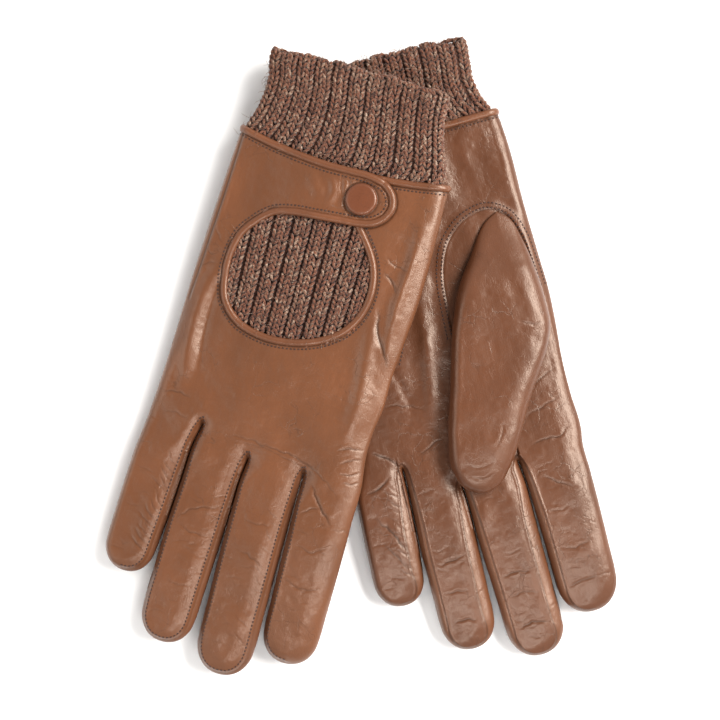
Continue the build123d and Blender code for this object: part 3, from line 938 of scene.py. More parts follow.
# The marled yarn's fibres, from the darkest to the lightest
FLECKS = [
    (0.32, srgb(42, 25, 19)), (0.42, srgb(114, 64, 42)), (0.50, srgb(152, 90, 62)),
    (0.57, srgb(126, 94, 74)), (0.65, srgb(186, 152, 128)), (0.76, srgb(232, 210, 190)),
]


def wool(name, dim):
    """Marled yarn: flecks of reddish brown, taupe, dark and light fibres."""
    n = Nodes(name)
    at = n.attribute("grain", "Vector")
    leg = n.attribute("tint")
    under = n.attribute("cavity")
    fleck = n.noise(at, 1.15, 3.0, 0.75, 0.5)
    fleck = n.math("ADD", fleck, n.spread(leg, 0.0, 1.0, -0.09, 0.09))
    cloud = n.noise(at, 0.16, 2.0)
    base = n.ramp(fleck, [(place, shaded(colour, dim)) for place, colour in FLECKS])
    base = n.mix(n.spread(cloud, 0.35, 0.65, 0.0, 0.3), base, shaded(srgb(104, 68, 52), dim))
    # Painted shade where the legs dive under, darker as the cavity attribute rises.
    base = n.mix(n.math("MULTIPLY", under, 0.8), base, shaded(srgb(42, 26, 20), dim))
    n.set("Base Color", base)
    ply = n.noise(n.stretched(at, (2.2, 1.2, 2.2)), 1.6, 3.0, 0.7, 0.8)
    n.set("Normal", n.bump(ply, 0.7, 0.0004))
    n.set("Roughness", 0.92)
    n.set("Specular IOR Level", 0.2)
    n.set("Sheen Weight", 0.15)
    n.set("Sheen Roughness", 0.6)
    return n.material


def plain(name, colour, rough, metallic=0.0):
    """Thread or metal, faintly mottled."""
    n = Nodes(name)
    at = n.add("ShaderNodeTexCoord").outputs["Object"]
    wear = n.noise(at, 0.3 / MM)
    n.set("Base Color", n.mix(n.spread(wear, 0.3, 0.7, 0, 1), shaded(colour, 0.85), colour))
    n.set("Roughness", n.spread(wear, 0.3, 0.7, rough - 0.06, rough + 0.08))
    n.set("Normal", n.bump(wear, 0.15, 0.0001))
    n.set("Metallic", metallic)
    return n.material


panel_leather = {
    "right": leather("leather_right", srgb(100, 60, 37)),
    # The left glove's leather is a darker copy of the same leather: painted shade for the lower glove of
    # the pair.
    "left": leather("leather_left", srgb(85, 49, 30)),
}
wall_leather = leather("wall_leather", srgb(96, 58, 37))
edge_leather = leather("edge_leather", srgb(101, 60, 38), 0.35, 0.5)
button_leather = leather("button_leather", srgb(96, 53, 33), 0.34, 0.4)
thread = plain("thread", srgb(58, 33, 23), 0.7)
yarn = wool("marled_yarn", 0.64)
# A darker copy of the yarn for the knit's core and the window's backing: painted shade behind and between
# the stitches.
yarn_in_painted_shade = wool("marled_yarn_in_painted_shade", 0.35)
steel = plain("snap_steel", srgb(180, 172, 160), 0.32, 1.0)


# The two gloves. A finger has its root's place, lean in degrees, reach, bend, and its width at
# the root and at the tip. knit is the cuff's left and right side as (height, x), and its top.

RIGHT = Glove(
    side="right", up=1, half=4.2, thumb_thick=2.4,
    fingers=[
        Finger("pinky", -35.8, -1.9, 62.4, 28.5, 22.2, 20.6),
        Finger("ring", -13.9, -0.5, 85.2, 37.0, 22.6, 22.2),
        Finger("middle", 8.8, 1.9, 91.0, 38.0, 23.2, 23.4),
        Finger("index", 33.2, 2.1, 79.0, 37.5, 23.0, 22.8),
    ],
    crotches=[(-23.6, -118.3), (-1.9, -125.8), (21.3, -124.9)],
    little=[
        (-43.4, 0.0), (-44.2, -20.0), (-44.9, -42.0), (-45.3, -60.0), (-45.3, -82.0),
        (-45.5, -104.0), (-46.3, -122.0),
    ],
    index=[
        (45.2, -124.0), (43.3, -111.0), (43.1, -101.0), (44.2, -91.0), (43.9, -79.0),
        (44.5, -66.0), (45.3, -47.0), (45.0, -29.0), (44.2, -14.0), (43.4, 0.0),
    ],
    knit=[
        [(-6, -41.5), (1, -41.4), (9, -39.2), (16, -38.4), (23, -38.6), (29, -40.4), (36, -40.8)],
        [(-6, 41.5), (3, 41.2), (9, 38.8), (16, 36.0), (23, 33.8), (29, 33.2), (36, 33.0)],
        33.6,
    ],
)
LEFT = Glove(
    side="left", up=-1, half=3.8, thumb_thick=7.8,
    fingers=[
        Finger("pinky", -38.2, -3.7, 62.4, 28.5, 22.0, 20.4),
        Finger("ring", -18.1, -0.5, 86.0, 37.5, 22.6, 22.0),
        Finger("middle", 4.2, 2.1, 95.2, 41.0, 23.8, 23.4),
        Finger("index", 31.0, 0.8, 83.2, 38.0, 25.0, 24.4),
    ],
    crotches=[(-28.9, -130.4), (-7.3, -141.5), (16.9, -138.4)],
    little=[
        (-43.4, 0.0), (-44.0, -20.0), (-44.4, -45.0), (-44.2, -70.0), (-44.0, -95.0),
        (-45.0, -118.0), (-47.6, -130.0),
    ],
    index=[
        (44.7, -132.0), (44.1, -117.0), (44.2, -103.0), (45.4, -87.0), (45.9, -74.0),
        (45.4, -60.0), (44.7, -35.0), (44.8, -22.0), (44.5, -12.0), (43.4, 0.0),
    ],
    knit=[
        [(-6, -41.5), (1, -41.0), (9, -38.5), (16, -37.5), (23, -37.0), (29, -38.0), (36, -38.4)],
        [(-6, 41.5), (2, 40.6), (7, 38.4), (15, 36.8), (22, 37.6), (28, 38.0), (36, 38.0)],
        31.6,
    ],
)
GLOVES = [LEFT, RIGHT]


# Folds and creases, each a line with its depth and width. A negative depth is a ridge.

RIGHT_BACK_FOLDS = [
    ([(-34.0, -52), (-37.6, -62), (-38.6, -76), (-37.4, -92), (-35.0, -108)], -1.6, 3.2),
    ([(-32.0, -56), (-33.8, -66), (-34.2, -76), (-32.8, -88), (-30.6, -100)], 0.50, 1.5),
    ([(-43.4, -110.6), (-36.4, -108.8), (-30.1, -109.4)], 0.30, 0.6),
    ([(-41, -118), (-34, -116.5), (-28, -118)], 0.18, 0.6),
    ([(28.0, -33.0), (32.1, -35.3), (38.0, -36.0)], 0.32, 0.6),
    ([(29.0, -38.6), (33.4, -41.9), (36.4, -46.0)], 0.42, 0.8),
    ([(38.0, -16), (38.4, -34), (38.0, -52), (39.0, -66), (41.0, -76)], -1.20, 2.2),
    ([(31.5, -53.0), (33.6, -62.0), (38.0, -69.0), (41.5, -75.0)], 0.60, 1.2),
    ([(30.4, -52.0), (31.6, -64.0), (33.2, -80.0), (34.6, -96.0), (35.0, -110.0)], -1.30, 3.2),
    ([(-15, -121.0), (-4.8, -118.2), (6, -118.8), (16, -119.2), (25, -121.6), (34, -126.6),
      (40.4, -132.0)], 0.30, 0.48),
    ([(-3.0, -8.5), (0.5, -13.5), (-0.5, -20.5)], -0.55, 1.7),
    ([(3.8, -8.0), (5.2, -13.0), (4.6, -19.5)], -0.40, 1.2),
    ([(-14.0, -9.0), (-8.0, -13.0), (-4.0, -20.0)], -0.30, 2.2),
    ([(-9.0, -120.6), (2.0, -119.6), (14, -121.0), (24, -123.4)], 0.20, 0.4),
    ([(26.1, -126.8), (31.0, -133.6), (38.9, -141.5)], 0.45, 0.9),
    ([(25.4, -140.4), (29.0, -136.8), (33.0, -135.6)], 0.28, 0.6),
    ([(27.3, -152.3), (34.0, -153.2), (40.4, -148.9)], 0.26, 0.55),
    ([(25.9, -166.5), (34.0, -168.6), (42.6, -166.4)], 0.24, 0.6),
    ([(-22.5, -157.5), (-16.5, -151.2), (-5.6, -147.7)], 0.30, 0.6),
    ([(-20.5, -158.5), (-14.8, -160.6), (-7.3, -160.2)], 0.24, 0.55),
    ([(-20.0, -181.0), (-14.0, -182.4), (-7.5, -180.6)], 0.16, 0.55),
    ([(5.2, -161.2), (11.5, -162.4), (18.5, -166.0)], 0.24, 0.6),
    ([(3.6, -148.5), (9.5, -149.6), (15.5, -147.8)], 0.20, 0.6),
    ([(31.8, -111.6), (35.8, -109.7), (41.6, -109.0)], 0.36, 0.6),
    ([(-42.6, -49.0), (-39.4, -52.0), (-36.4, -50.4)], 0.26, 0.55),
    ([(-43.0, -58.6), (-39.0, -55.4), (-36.2, -54.8)], 0.24, 0.55),
    ([(-41.4, -40.0), (-38.2, -45.0), (-35.6, -47.0)], 0.20, 0.55),
    ([(34.2, -116.7), (37.6, -114.3), (42.4, -112.4)], 0.34, 0.55),
    ([(35.2, -120.6), (39.0, -119.8), (43.2, -117.2)], 0.36, 0.55),
    ([(37.4, -123.4), (41.0, -123.0), (44.0, -121.2)], 0.30, 0.5),
]

# The seam along the little finger's side of the back
SIDE_SEAM = [(-41.4, 0.5), (-41.6, -16), (-42.0, -36), (-42.8, -58), (-43.4, -72)]

LEFT_PALM_FOLDS = [
    ([(17.0, -5.0), (16.0, -18.0), (16.5, -33.0)], -0.30, 2.6),
    ([(27.0, -4.0), (26.5, -14.0), (27.5, -28.0)], -0.25, 2.6),
    ([(-39.8, -121.0), (-34.5, -124.1), (-30.2, -129.2)], 0.45, 0.8),
    ([(-45.4, -137.0), (-40.2, -135.6), (-34.2, -132.0)], 0.45, 0.7),
    ([(-22.0, -126.6), (-16.5, -124.6), (-9.7, -121.8)], 0.35, 0.6),
    ([(-32.0, -104.4), (-24.0, -105.3), (-14.0, -109.6)], 0.26, 0.6),
    ([(-28.0, -80.0), (-22.0, -95.0), (-19.0, -112.0)], 0.40, 1.6),
    ([(-4.5, -60.0), (-7.0, -82.0), (-10.0, -100.0), (-13.5, -117.0)], -0.95, 2.6),
    ([(22.6, -133.9), (29.0, -132.5), (35.0, -132.7), (40.5, -129.6)], 0.36, 0.6),
    ([(24.5, -146.6), (29.5, -149.9), (35.7, -153.9)], 0.30, 0.7),
    ([(24.0, -122.5), (31.0, -119.8), (40.0, -117.0)], 0.28, 0.6),
    ([(27.0, -114.0), (34.0, -108.4), (41.6, -105.0)], 0.26, 0.6),
    ([(-24.4, -171.4), (-18.7, -170.7), (-12.6, -169.3)], 0.36, 0.6),
    ([(-25.2, -182.8), (-20.3, -183.1), (-14.9, -183.7)], 0.30, 0.55),
    ([(-24.0, -195.9), (-20.0, -195.0), (-14.8, -196.2)], 0.38, 0.6),
    ([(-1.2, -182.4), (4.2, -181.2), (10.6, -182.2)], 0.34, 0.55),
    ([(0.0, -190.6), (6.2, -190.0), (12.6, -191.6)], 0.28, 0.5),
    ([(0.4, -203.9), (7.9, -202.9), (14.2, -204.1)], 0.42, 0.6),
    ([(-44.6, -146.0), (-38.9, -154.7), (-34.2, -166.0)], 0.38, 0.9),
    ([(-43.8, -157.0), (-39.9, -163.0), (-36.6, -171.0)], 0.30, 0.8),
    ([(23.8, -192.7), (30.2, -191.0), (37.0, -191.4)], 0.30, 0.6),
    ([(24.2, -176.2), (30.6, -177.6), (38.4, -175.6)], 0.24, 0.6),
]
THUMB_FOLDS = [
    ([(24.0, -52.0), (17.0, -68.0), (12.0, -84.0), (9.0, -98.0)], -0.32, 4.0),
    ([(30.0, -58.0), (31.0, -72.0), (35.5, -84.0)], 0.2, 3.0),
    ([(30.0, -84.0), (35.0, -86.5), (40.5, -87.0)], 0.4, 0.7),
    ([(-3.0, -139.0), (1.5, -141.4), (6.0, -140.0)], 0.35, 0.6),
    ([(-4.6, -134.0), (0.6, -136.6), (7.8, -135.4)], 0.24, 0.6),
    ([(9.0, -131.0), (13.0, -126.0), (14.6, -121.0)], 0.3, 0.7),
]

# The seam that sets the thumb into the palm, and the thumb's outline as it lies on the palm
THUMB_ARCH = [
    (2.4, -84.0), (3.0, -72.0), (4.6, -58.0), (10.2, -45.2), (19.8, -37.6), (30.2, -36.0),
    (37.3, -40.2), (41.4, -49.0), (43.2, -61.0), (44.0, -72.0),
]
THUMB_OUTLINE = [
    (33.0, -39.6), (28.6, -41.8), (18.4, -54.3), (10.4, -66.0), (4.2, -80.7), (-2.6, -103.8),
    (-8.2, -122.6), (-9.9, -134.5), (-7.2, -142.8), (0.6, -147.3), (7.6, -145.2), (12.6, -139.9),
    (18.8, -130.9), (25.2, -119.1), (32.0, -108.2), (38.6, -97.8), (42.4, -88.6), (42.9, -79.0),
    (42.2, -66.0), (40.1, -52.6), (37.0, -43.0),
]


def short_wrinkles(relief, glove, seed, count, strength):
    """Fine creases across the fingers, where they fold when worn, and a few on the palm."""
    draw = np.random.default_rng(seed)
    for finger in glove.fingers:
        knuckles = (0.30 * finger.reach, 0.55 * finger.reach, 0.80 * finger.reach)
        for _ in range(count):
            s = draw.choice(knuckles) + draw.normal(0, 4.5)
            start = draw.uniform(-0.44, 0.25) * finger.width
            long = draw.uniform(3, 10)
            rise = draw.normal(0, 1.4)
            bow = draw.normal(0, 0.8)
            points = [
                finger.at(s, start),
                finger.at(s + rise / 2 + bow, start + long / 2),
                finger.at(s + rise, start + long),
            ]
            relief.crease(points, strength * draw.uniform(0.3, 1.0), draw.uniform(0.32, 0.55))
    for _ in range(4 * count):
        x = draw.uniform(-38, 34)
        y = draw.uniform(-118, -82)
        long = draw.uniform(5, 12)
        lean = draw.normal(0, 0.5)
        points = [(x, y), (x + lean * 2 + long / 2, y + draw.normal(0, 1)), (x + long, y + lean * long / 2)]
        relief.crease(points, 0.35 * strength * draw.uniform(0.3, 1.0), draw.uniform(0.4, 0.8))


def seam_wrinkles(relief, finger, sign, seed, count, depth):
    """Short slanting puckers that run into a finger's seam."""
    draw = np.random.default_rng(seed)
    for k in range(count):
        s = finger.reach * (0.22 + 0.62 * (k + draw.uniform(0, 0.6)) / count)
        edge = sign * (finger.half(s) - 3.0)
        long = draw.uniform(4, 9)
        points = [
            finger.at(s + 1.6, edge),
            finger.at(s - 0.4, edge - sign * long * 0.5),
            finger.at(s - 2.6 - draw.uniform(0, 2), edge - sign * long),
        ]
        relief.crease(points, depth * draw.uniform(0.4, 1.0), draw.uniform(0.4, 0.7))


RIGHT.relief[1].fold(RIGHT_BACK_FOLDS)
LEFT.relief[-1].fold(LEFT_PALM_FOLDS)
arch = smooth(THUMB_ARCH, 1.0)
arch_inner = arch - normals_2d(arch) * 1.75
for glove in GLOVES:
    glove.relief[1].crease(SIDE_SEAM, 0.42, 0.5, 1, steady=True)
    glove.relief[-1].crease(arch, -0.26, 1.25, 1, steady=True)
    glove.relief[-1].crease(arch_inner, 0.24, 0.36, 1, steady=True)
seam_wrinkles(RIGHT.relief[1], RIGHT.fingers[0], 1, 3, 14, 0.30)
seam_wrinkles(RIGHT.relief[1], RIGHT.fingers[2], 1, 5, 12, 0.16)
seam_wrinkles(LEFT.relief[-1], LEFT.fingers[0], 1, 4, 12, 0.24)
short_wrinkles(RIGHT.relief[1], RIGHT, 41, 10, 0.17)
short_wrinkles(LEFT.relief[-1], LEFT, 42, 14, 0.19)
short_wrinkles(RIGHT.relief[-1], RIGHT, 43, 8, 0.22)
short_wrinkles(LEFT.relief[1], LEFT, 44, 6, 0.17)
RIGHT.relief[-1].fold(LEFT_PALM_FOLDS[::2])
LEFT.relief[1].fold(RIGHT_BACK_FOLDS[::2])
for glove in GLOVES:
    glove.set_seams(1, *BACK_SEAM)
    glove.set_seams(-1, *PALM_SEAM)


def make_face(glove, side, pitch):
    """Triangulate one face of a glove and give it its heights."""
    rest = back_rest if side > 0 else palm_cuff
    loop = np.vstack([glove.contour, rest])
    extra = [edge_rings(chain) for chain in glove.chains]
    for line in glove.seams[side][0]:
        flank = normals_2d(line)
        for offset in (-0.5, 0.0, 0.5):
            extra.append((line + flank * offset)[::2])
    extra = np.vstack(extra[:4] + [e[glove.rolled(e)[0] > 1.1] for e in extra[4:]])
    flat, faces = triangulate(loop, extra, 0.36 * pitch, pitch)
    return flat, faces, glove.height(flat, side)


def blend_finger(piece, glove, finger):
    """Bake a finger's piece into its mesh; the ends of the finger's joint are worked out but not used."""
    ends = np.array([finger.at(finger.bend + way * BLEND_HALF, 0) for way in (-1, 1)])
    start, end = glove.place(ends, 0.0)
    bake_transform(piece)


def leather_shell(glove, fine_side):
    """Back and palm of the hand, the fingers, and the fourchettes between them."""
    sides = {}
    for side in (1, -1):
        pitch = FINE if side == fine_side else COARSE
        sides[side] = split_face(glove, side, *make_face(glove, side, pitch))
    name = glove.side
    hand = f"{name}_hand"
    for side, word, node in ((1, "back_panel", "back_leather"), (-1, "palm_panel", "palm_leather")):
        panel = from_arrays(f"{name}_{word}", [sides[side][(-1, False)]], panel_leather[name])
        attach(panel, hand)
        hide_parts(f"{name}_{node}")
    walls = from_arrays(f"{name}_crotch_walls", [sides[s][(-1, True)] for s in (1, -1)], wall_leather)
    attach(walls, hand)
    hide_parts(f"{name}_fourchettes")
    for k, finger in enumerate(glove.fingers):
        stall = from_arrays(
            f"{name}_{finger.name}_stall", [sides[s][(k, False)] for s in (1, -1)], panel_leather[name]
        )
        blend_finger(stall, glove, finger)
        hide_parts(f"{name}_{finger.name}_leather", f"{name}_{finger.name}_lining")
        wall = from_arrays(
            f"{name}_{finger.name}_walls", [sides[s][(k, True)] for s in (1, -1)], wall_leather
        )
        blend_finger(wall, glove, finger)
        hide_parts(f"{name}_{finger.name}_fourchettes")


def blend_strap(piece, glove):
    """Bake a strap piece into its mesh; the ends of the strap's fold are worked out but not used."""
    ends = np.array([[FOLD_X - 3.5, SNAP[1]], [FOLD_X + 3.5, SNAP[1]]])
    start, end = glove.place(ends, glove.half)
    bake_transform(piece)


def open_edges(faces):
    """Directed edges that only one triangle has."""
    edges = np.vstack([faces[:, [0, 1]], faces[:, [1, 2]], faces[:, [2, 0]]])
    key = np.sort(edges, axis=1)
    _, first, count = np.unique(key, axis=0, return_index=True, return_counts=True)
    return edges[first[count == 1]]


def two_sided(glove, side, flat, top, bottom):
    """Points of two height fields over the same plan, and their places in the leather."""
    points = np.vstack([glove.place(flat, side * height) for height in (top, bottom)])
    grain = np.vstack([np.column_stack([flat, height]) for height in (top, bottom)])
    return points, grain


def slab(glove, name, flat, faces, top, bottom, cavity):
    """A closed piece of the back between two height fields, with walls of its own."""
    n = len(flat)
    edges = open_edges(faces)
    walls = 2 * n + np.vstack([
        np.stack([edges[:, 1], edges[:, 0], edges[:, 0] + n], 1),
        np.stack([edges[:, 1], edges[:, 0] + n, edges[:, 1] + n], 1),
    ])
    everything = np.vstack([faces, faces[:, ::-1] + n, walls])
    if glove.up < 0:
        everything = everything[:, ::-1]
    points, grain = (np.tile(part, (2, 1)) for part in two_sided(glove, 1, flat, top, bottom))
    normals = vertex_normals(points, everything)
    used, local = np.unique(everything, return_inverse=True)
    return new_object(
        name, points[used], local.reshape(everything.shape), panel_leather[glove.side], normals[used],
        {"grain": grain[used], "cavity": np.tile(cavity, 4)[used]},
    )


def skin(glove, name, flat, faces, top, bottom, cavity):
    """A closed piece on the palm, whose two height fields meet along its outline."""
    n = len(flat)
    rim = np.unique(open_edges(faces))
    lower = np.arange(n, 2 * n)
    lower[rim] = rim
    everything = np.vstack([faces, lower[faces[:, ::-1]]])
    if glove.up > 0:
        everything = everything[:, ::-1]
    points, grain = two_sided(glove, -1, flat, top, bottom)
    used, local = np.unique(everything, return_inverse=True)
    return new_object(
        name, points[used], local.reshape(everything.shape), panel_leather[glove.side],
        attributes={"grain": grain[used], "cavity": np.tile(cavity, 2)[used]},
    )


def strap_leather(glove):
    """The strap, with the leather drawn in round the snap."""
    loop = np.vstack([strap_edge, root_line[::-1][1:-1]])
    flat, faces = triangulate(loop, np.zeros((0, 2)), 0.25, 0.6)
    off = flat - np.array(SNAP)
    around = np.hypot(off[:, 0], off[:, 1])
    turn = np.arctan2(off[:, 1], off[:, 0])
    top = glove.height(flat, 1, over=True) - 0.45 * hump(around, 6.7, 0.8)
    top += 0.10 * np.sin(11 * turn + 2 * np.sin(3 * turn)) * hump(around, 8.6, 1.6)
    # Painted shade: a dark ring in the drawn-in leather round the snap's rim.
    cavity = 0.6 * hump(around, 6.6, 0.4)
    strap = slab(glove, f"{glove.side}_strap_leather", flat, faces, top, top - STRAP_THICK, cavity)
    blend_strap(strap, glove)
    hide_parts(f"{glove.side}_strap")


def back_path(glove, line, over=False):
    """A line on the back as points of the row frame, with their outward normals."""
    points = glove.place(line, glove.height(line, 1, over) - BINDING_SINK)
    return points, np.tile(glove.up * glove.z, (len(points), 1))


def cuff_path(glove):
    """The line round the cuff from the strap to the underlap, with its outward normals."""
    stretches = (
        (1, np.arange(STRAP_ROOT + 0.8, -43.3, -0.4)),
        (-1, np.arange(-43.2, 43.3, 0.4)),
        (1, np.arange(43.2, UNDERLAP[0][0], -0.4)),
    )
    ring = []
    for side, x in stretches:
        flat = np.stack([x, cuff_height(x, side) - CUFF_BINDING], 1)
        height = glove.height(flat, side) - BINDING_SINK
        ring.append(np.column_stack([flat, side * height]))
    ring = resample(np.vstack(ring), EDGE_STEP)
    for _ in range(4):
        ring[1:-1] = (ring[:-2] + 2 * ring[1:-1] + ring[2:]) / 4
    ahead = np.gradient(ring, axis=0)
    out = np.outer(ahead[:, 2], glove.x) - np.outer(glove.up * ahead[:, 0], glove.z)
    points = glove.place(ring[:, :2], ring[:, 2])
    middle = glove.place(np.array([[0.0, -CUFF_BINDING]]), 0.0)[0]
    return points, np.sign(((points - middle) * out).sum(1).mean()) * out


def bindings(glove):
    """The rolled edge: round the window, round the strap, and round the cuff."""
    name = glove.side
    window = binding_tube(f"{name}_window_binding", *back_path(glove, window_edge))
    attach(window, f"{name}_hand")
    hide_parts(f"{name}_edge_binding")
    strap = binding_tube(f"{name}_strap_edge", *back_path(glove, strap_edge, over=True))
    blend_strap(strap, glove)
    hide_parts(f"{name}_strap_binding")
    cuff = binding_tube(f"{name}_cuff_binding", *cuff_path(glove))
    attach(cuff, f"{name}_hand")


def stitch_arrays(glove, line, side, over=False):
    """Stitches along a line on a face: their plan, centres, directions and upward normals."""
    row = resample(line, STITCH)
    if len(row) < 3:
        return None
    height = glove.height(row, side, over)
    points = glove.place(row, side * (height + THREAD_LIFT))
    ahead = np.gradient(points, axis=0)
    ahead /= np.linalg.norm(ahead, axis=1)[:, None]
    up = np.tile(glove.up * side * glove.z, (len(points), 1))
    up = up - (up * ahead).sum(1)[:, None] * ahead
    up /= np.linalg.norm(up, axis=1)[:, None]
    return row, points, ahead, up


def sew(name, rows, body=None, blend=None):
    """One object of stitches from several rows, riding on a body or handed to a function that bakes it."""
    rows = [r for r in rows if r is not None and len(r[1])]
    if not rows:
        return
    centres, ahead, up = (np.vstack([r[k] for r in rows]) for k in (1, 2, 3))
    sizes = (STITCH_LONG / 2 * MM, THREAD * MM, THREAD_TALL * MM)
    points, faces = capsules(centres, ahead, up, *sizes)
    made = new_object(name, points, faces, thread)
    if body:
        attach(made, body)
    else:
        blend(made)


def part_rows(glove, rows):
    """Sort stitches into the hand's and each finger's."""
    sorted_rows = {k: [] for k in range(-1, len(glove.fingers))}
    for row in rows:
        if row is None:
            continue
        owner = np.full(len(row[0]), -1)
        for k, finger in enumerate(glove.fingers):
            owner[finger.in_stall(row[0])] = k
        for k in sorted_rows:
            chosen = owner == k
            sorted_rows[k].append(tuple(part[chosen] for part in row))
    return sorted_rows


def stitching(glove):
    """Topstitching beside the bindings, along the finger seams and round the thumb."""
    name = glove.side
    rows = []
    for line in glove.valley_seams(*BACK_SEAM, 1.0):
        rows.append(stitch_arrays(glove, line, 1))
    beside_window = window_edge + normals_2d(window_edge) * STITCH_INSET
    rows.append(stitch_arrays(glove, beside_window[14:], 1))
    for side, edge in ((1, little_cuff), (1, underlap_cuff), (-1, palm_cuff)):
        rows.append(stitch_arrays(glove, edge - np.array([0.0, CUFF_BINDING + STITCH_INSET]), side))
    for offset in (0.95, -0.95):
        rows.append(stitch_arrays(glove, arch + normals_2d(arch) * offset, -1))
    parts = part_rows(glove, rows)
    sew(f"{name}_hand_stitches", parts[-1], body=f"{name}_hand")
    for k, finger in enumerate(glove.fingers):
        sew(
            f"{name}_{finger.name}_stitches", parts[k],
            blend=lambda piece, finger=finger: blend_finger(piece, glove, finger),
        )
    line = strap_edge + normals_2d(strap_edge) * STITCH_INSET
    sew(
        f"{name}_strap_stitches", [stitch_arrays(glove, line, 1, over=True)],
        blend=lambda piece: blend_strap(piece, glove),
    )


def snap_button(glove):
    """The leather-covered dome of the snap, on the strap."""
    profile = [
        (6.15, -0.6), (6.35, 0.0), (6.32, 0.55), (6.0, 1.0), (5.45, 1.22), (4.8, 1.27), (3.6, 1.34),
        (2.2, 1.40), (0.9, 1.43),
    ]
    sides = 48
    turn = circle(sides)
    round_snap = np.stack([np.cos(turn), np.sin(turn)], 1)
    flat = np.vstack([round_snap * r for r, _ in profile] + [np.zeros((1, 2))]) + np.array(SNAP)
    base = glove.height(np.array([SNAP]), 1, over=True)[0]
    height = np.r_[np.repeat([h for _, h in profile], sides), 1.44] + base
    walls = grid_faces(len(profile), sides, closed_columns=True)[:, ::-1]
    top_ring = np.arange(sides) + (len(profile) - 1) * sides
    faces = np.vstack([walls, fan(top_ring, len(flat) - 1)])
    if glove.up < 0:
        faces = faces[:, ::-1]
    cap = new_object(
        f"{glove.side}_snap_button", glove.place(flat, height), faces, button_leather,
        attributes={"grain": np.column_stack([flat, height]), "cavity": np.zeros(len(flat))},
    )
    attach(cap, f"{glove.side}_strap")
    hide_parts(f"{glove.side}_snap_cap")


# Thumb

def thumb(glove):
    """The thumb lying along the palm, plump or pressed flat, its root held under the arch."""
    outline = smooth(THUMB_OUTLINE + THUMB_OUTLINE[:1])[:-1]
    if normals_2d(outline)[0] @ (outline.mean(0) - outline[0]) < 0:
        outline = outline[::-1]
    closed = np.vstack([outline, outline[:1]])
    flat, faces = triangulate(outline, edge_rings(closed), 0.22, FINE if glove.up < 0 else COARSE)
    x, y = flat.T
    d, _ = Near(resample(closed, 0.1))(flat)
    plump = glove.thumb_thick > 4
    root = smoothstep(-38, -74, y)
    full = (glove.thumb_thick + (1.3 if plump else 0.9)) * (0.16 + 0.84 * root)
    full = full - 1.2 * smoothstep(-124, -146, y) * plump
    base = glove.half + THUMB_GAP + 0.95 * smoothstep(-44, -80, y) * plump
    axis_x = np.interp(y, [-146.0, -42.0], [0.0, 33.0])
    roll = 4.2 + 4.6 * smoothstep(-5, 6, x - axis_x) if plump else 5.0
    mid = base + 0.36 * full
    relief = Relief(520 + glove.up)
    relief.fold(THUMB_FOLDS)
    uneven = waves(flat, ((0.28, 21.0, 61), (0.14, 7.5, 62), (0.04, 2.4, 63))) + relief(flat)
    uneven = uneven * np.clip(d / 5, 0, 1) * (0.3 + 0.7 * root)
    top = mid + (base + full - mid) * dome(d / roll) + uneven
    bottom = mid - (mid - base) * dome(d / 5.0)
    # The thumb's narrow creases are darkened: partly dyed darker, partly painted shade.
    cavity = 0.42 * relief(flat, dye=True)
    made = skin(glove, f"{glove.side}_thumb_stall", flat, faces, top, bottom, cavity)
    ends = np.array([[31.0, -50.0], [26.0, -76.0]])
    start, end = glove.place(ends, -(glove.half + 4))
    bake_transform(made)
    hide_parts(f"{glove.side}_thumb_leather", f"{glove.side}_thumb_lining")


# Knit

# One leg of a stitch: across as a share of a wale, along as a share of a row, and its depth and
# radius as shares of the yarn's
LEG_ACROSS = np.array([0.05, 0.16, 0.30, 0.43, 0.47])
LEG_ALONG = np.array([-0.70, -0.33, 0.05, 0.43, 0.76])
LEG_DEPTH = np.array([-1.05, -0.15, 0.20, 0.02, -0.85])
LEG_RADIUS = np.array([0.50, 0.86, 1.00, 0.88, 0.50])
# How dark each ring of a leg is painted: painted shade at the ends, where the leg dives under the next
# stitch.
LEG_END_SHADE = np.array([0.85, 0.2, 0.0, 0.2, 0.85])
LEG_SIDES = 6
HAIR_RADIUS = np.array([0.05, 0.06, 0.055, 0.045, 0.025])

RIBS_AROUND = 22
TURN_RADIUS = 1.05


def strand_tubes(paths, outward, radii):
    """Closed tubes round many short paths at once; paths are (count, rings, 3)."""
    count, rings, _ = paths.shape
    ahead = np.gradient(paths, axis=1)
    ahead /= np.linalg.norm(ahead, axis=2)[..., None]
    side = np.cross(ahead, outward)
    side /= np.linalg.norm(side, axis=2)[..., None]
    over = np.cross(side, ahead)
    turn = circle(LEG_SIDES)[None, None, :, None]
    ring = np.cos(turn) * side[:, :, None] + np.sin(turn) * over[:, :, None]
    body = (paths[:, :, None] + ring * radii[None, :, None, None]).reshape(count, -1, 3)
    points = np.concatenate([body, paths[:, :1], paths[:, -1:]], 1)
    each = points.shape[1]
    faces = tube_faces(rings, LEG_SIDES)[None] + np.arange(count)[:, None, None] * each
    return points.reshape(-1, 3), faces.reshape(-1, 3)


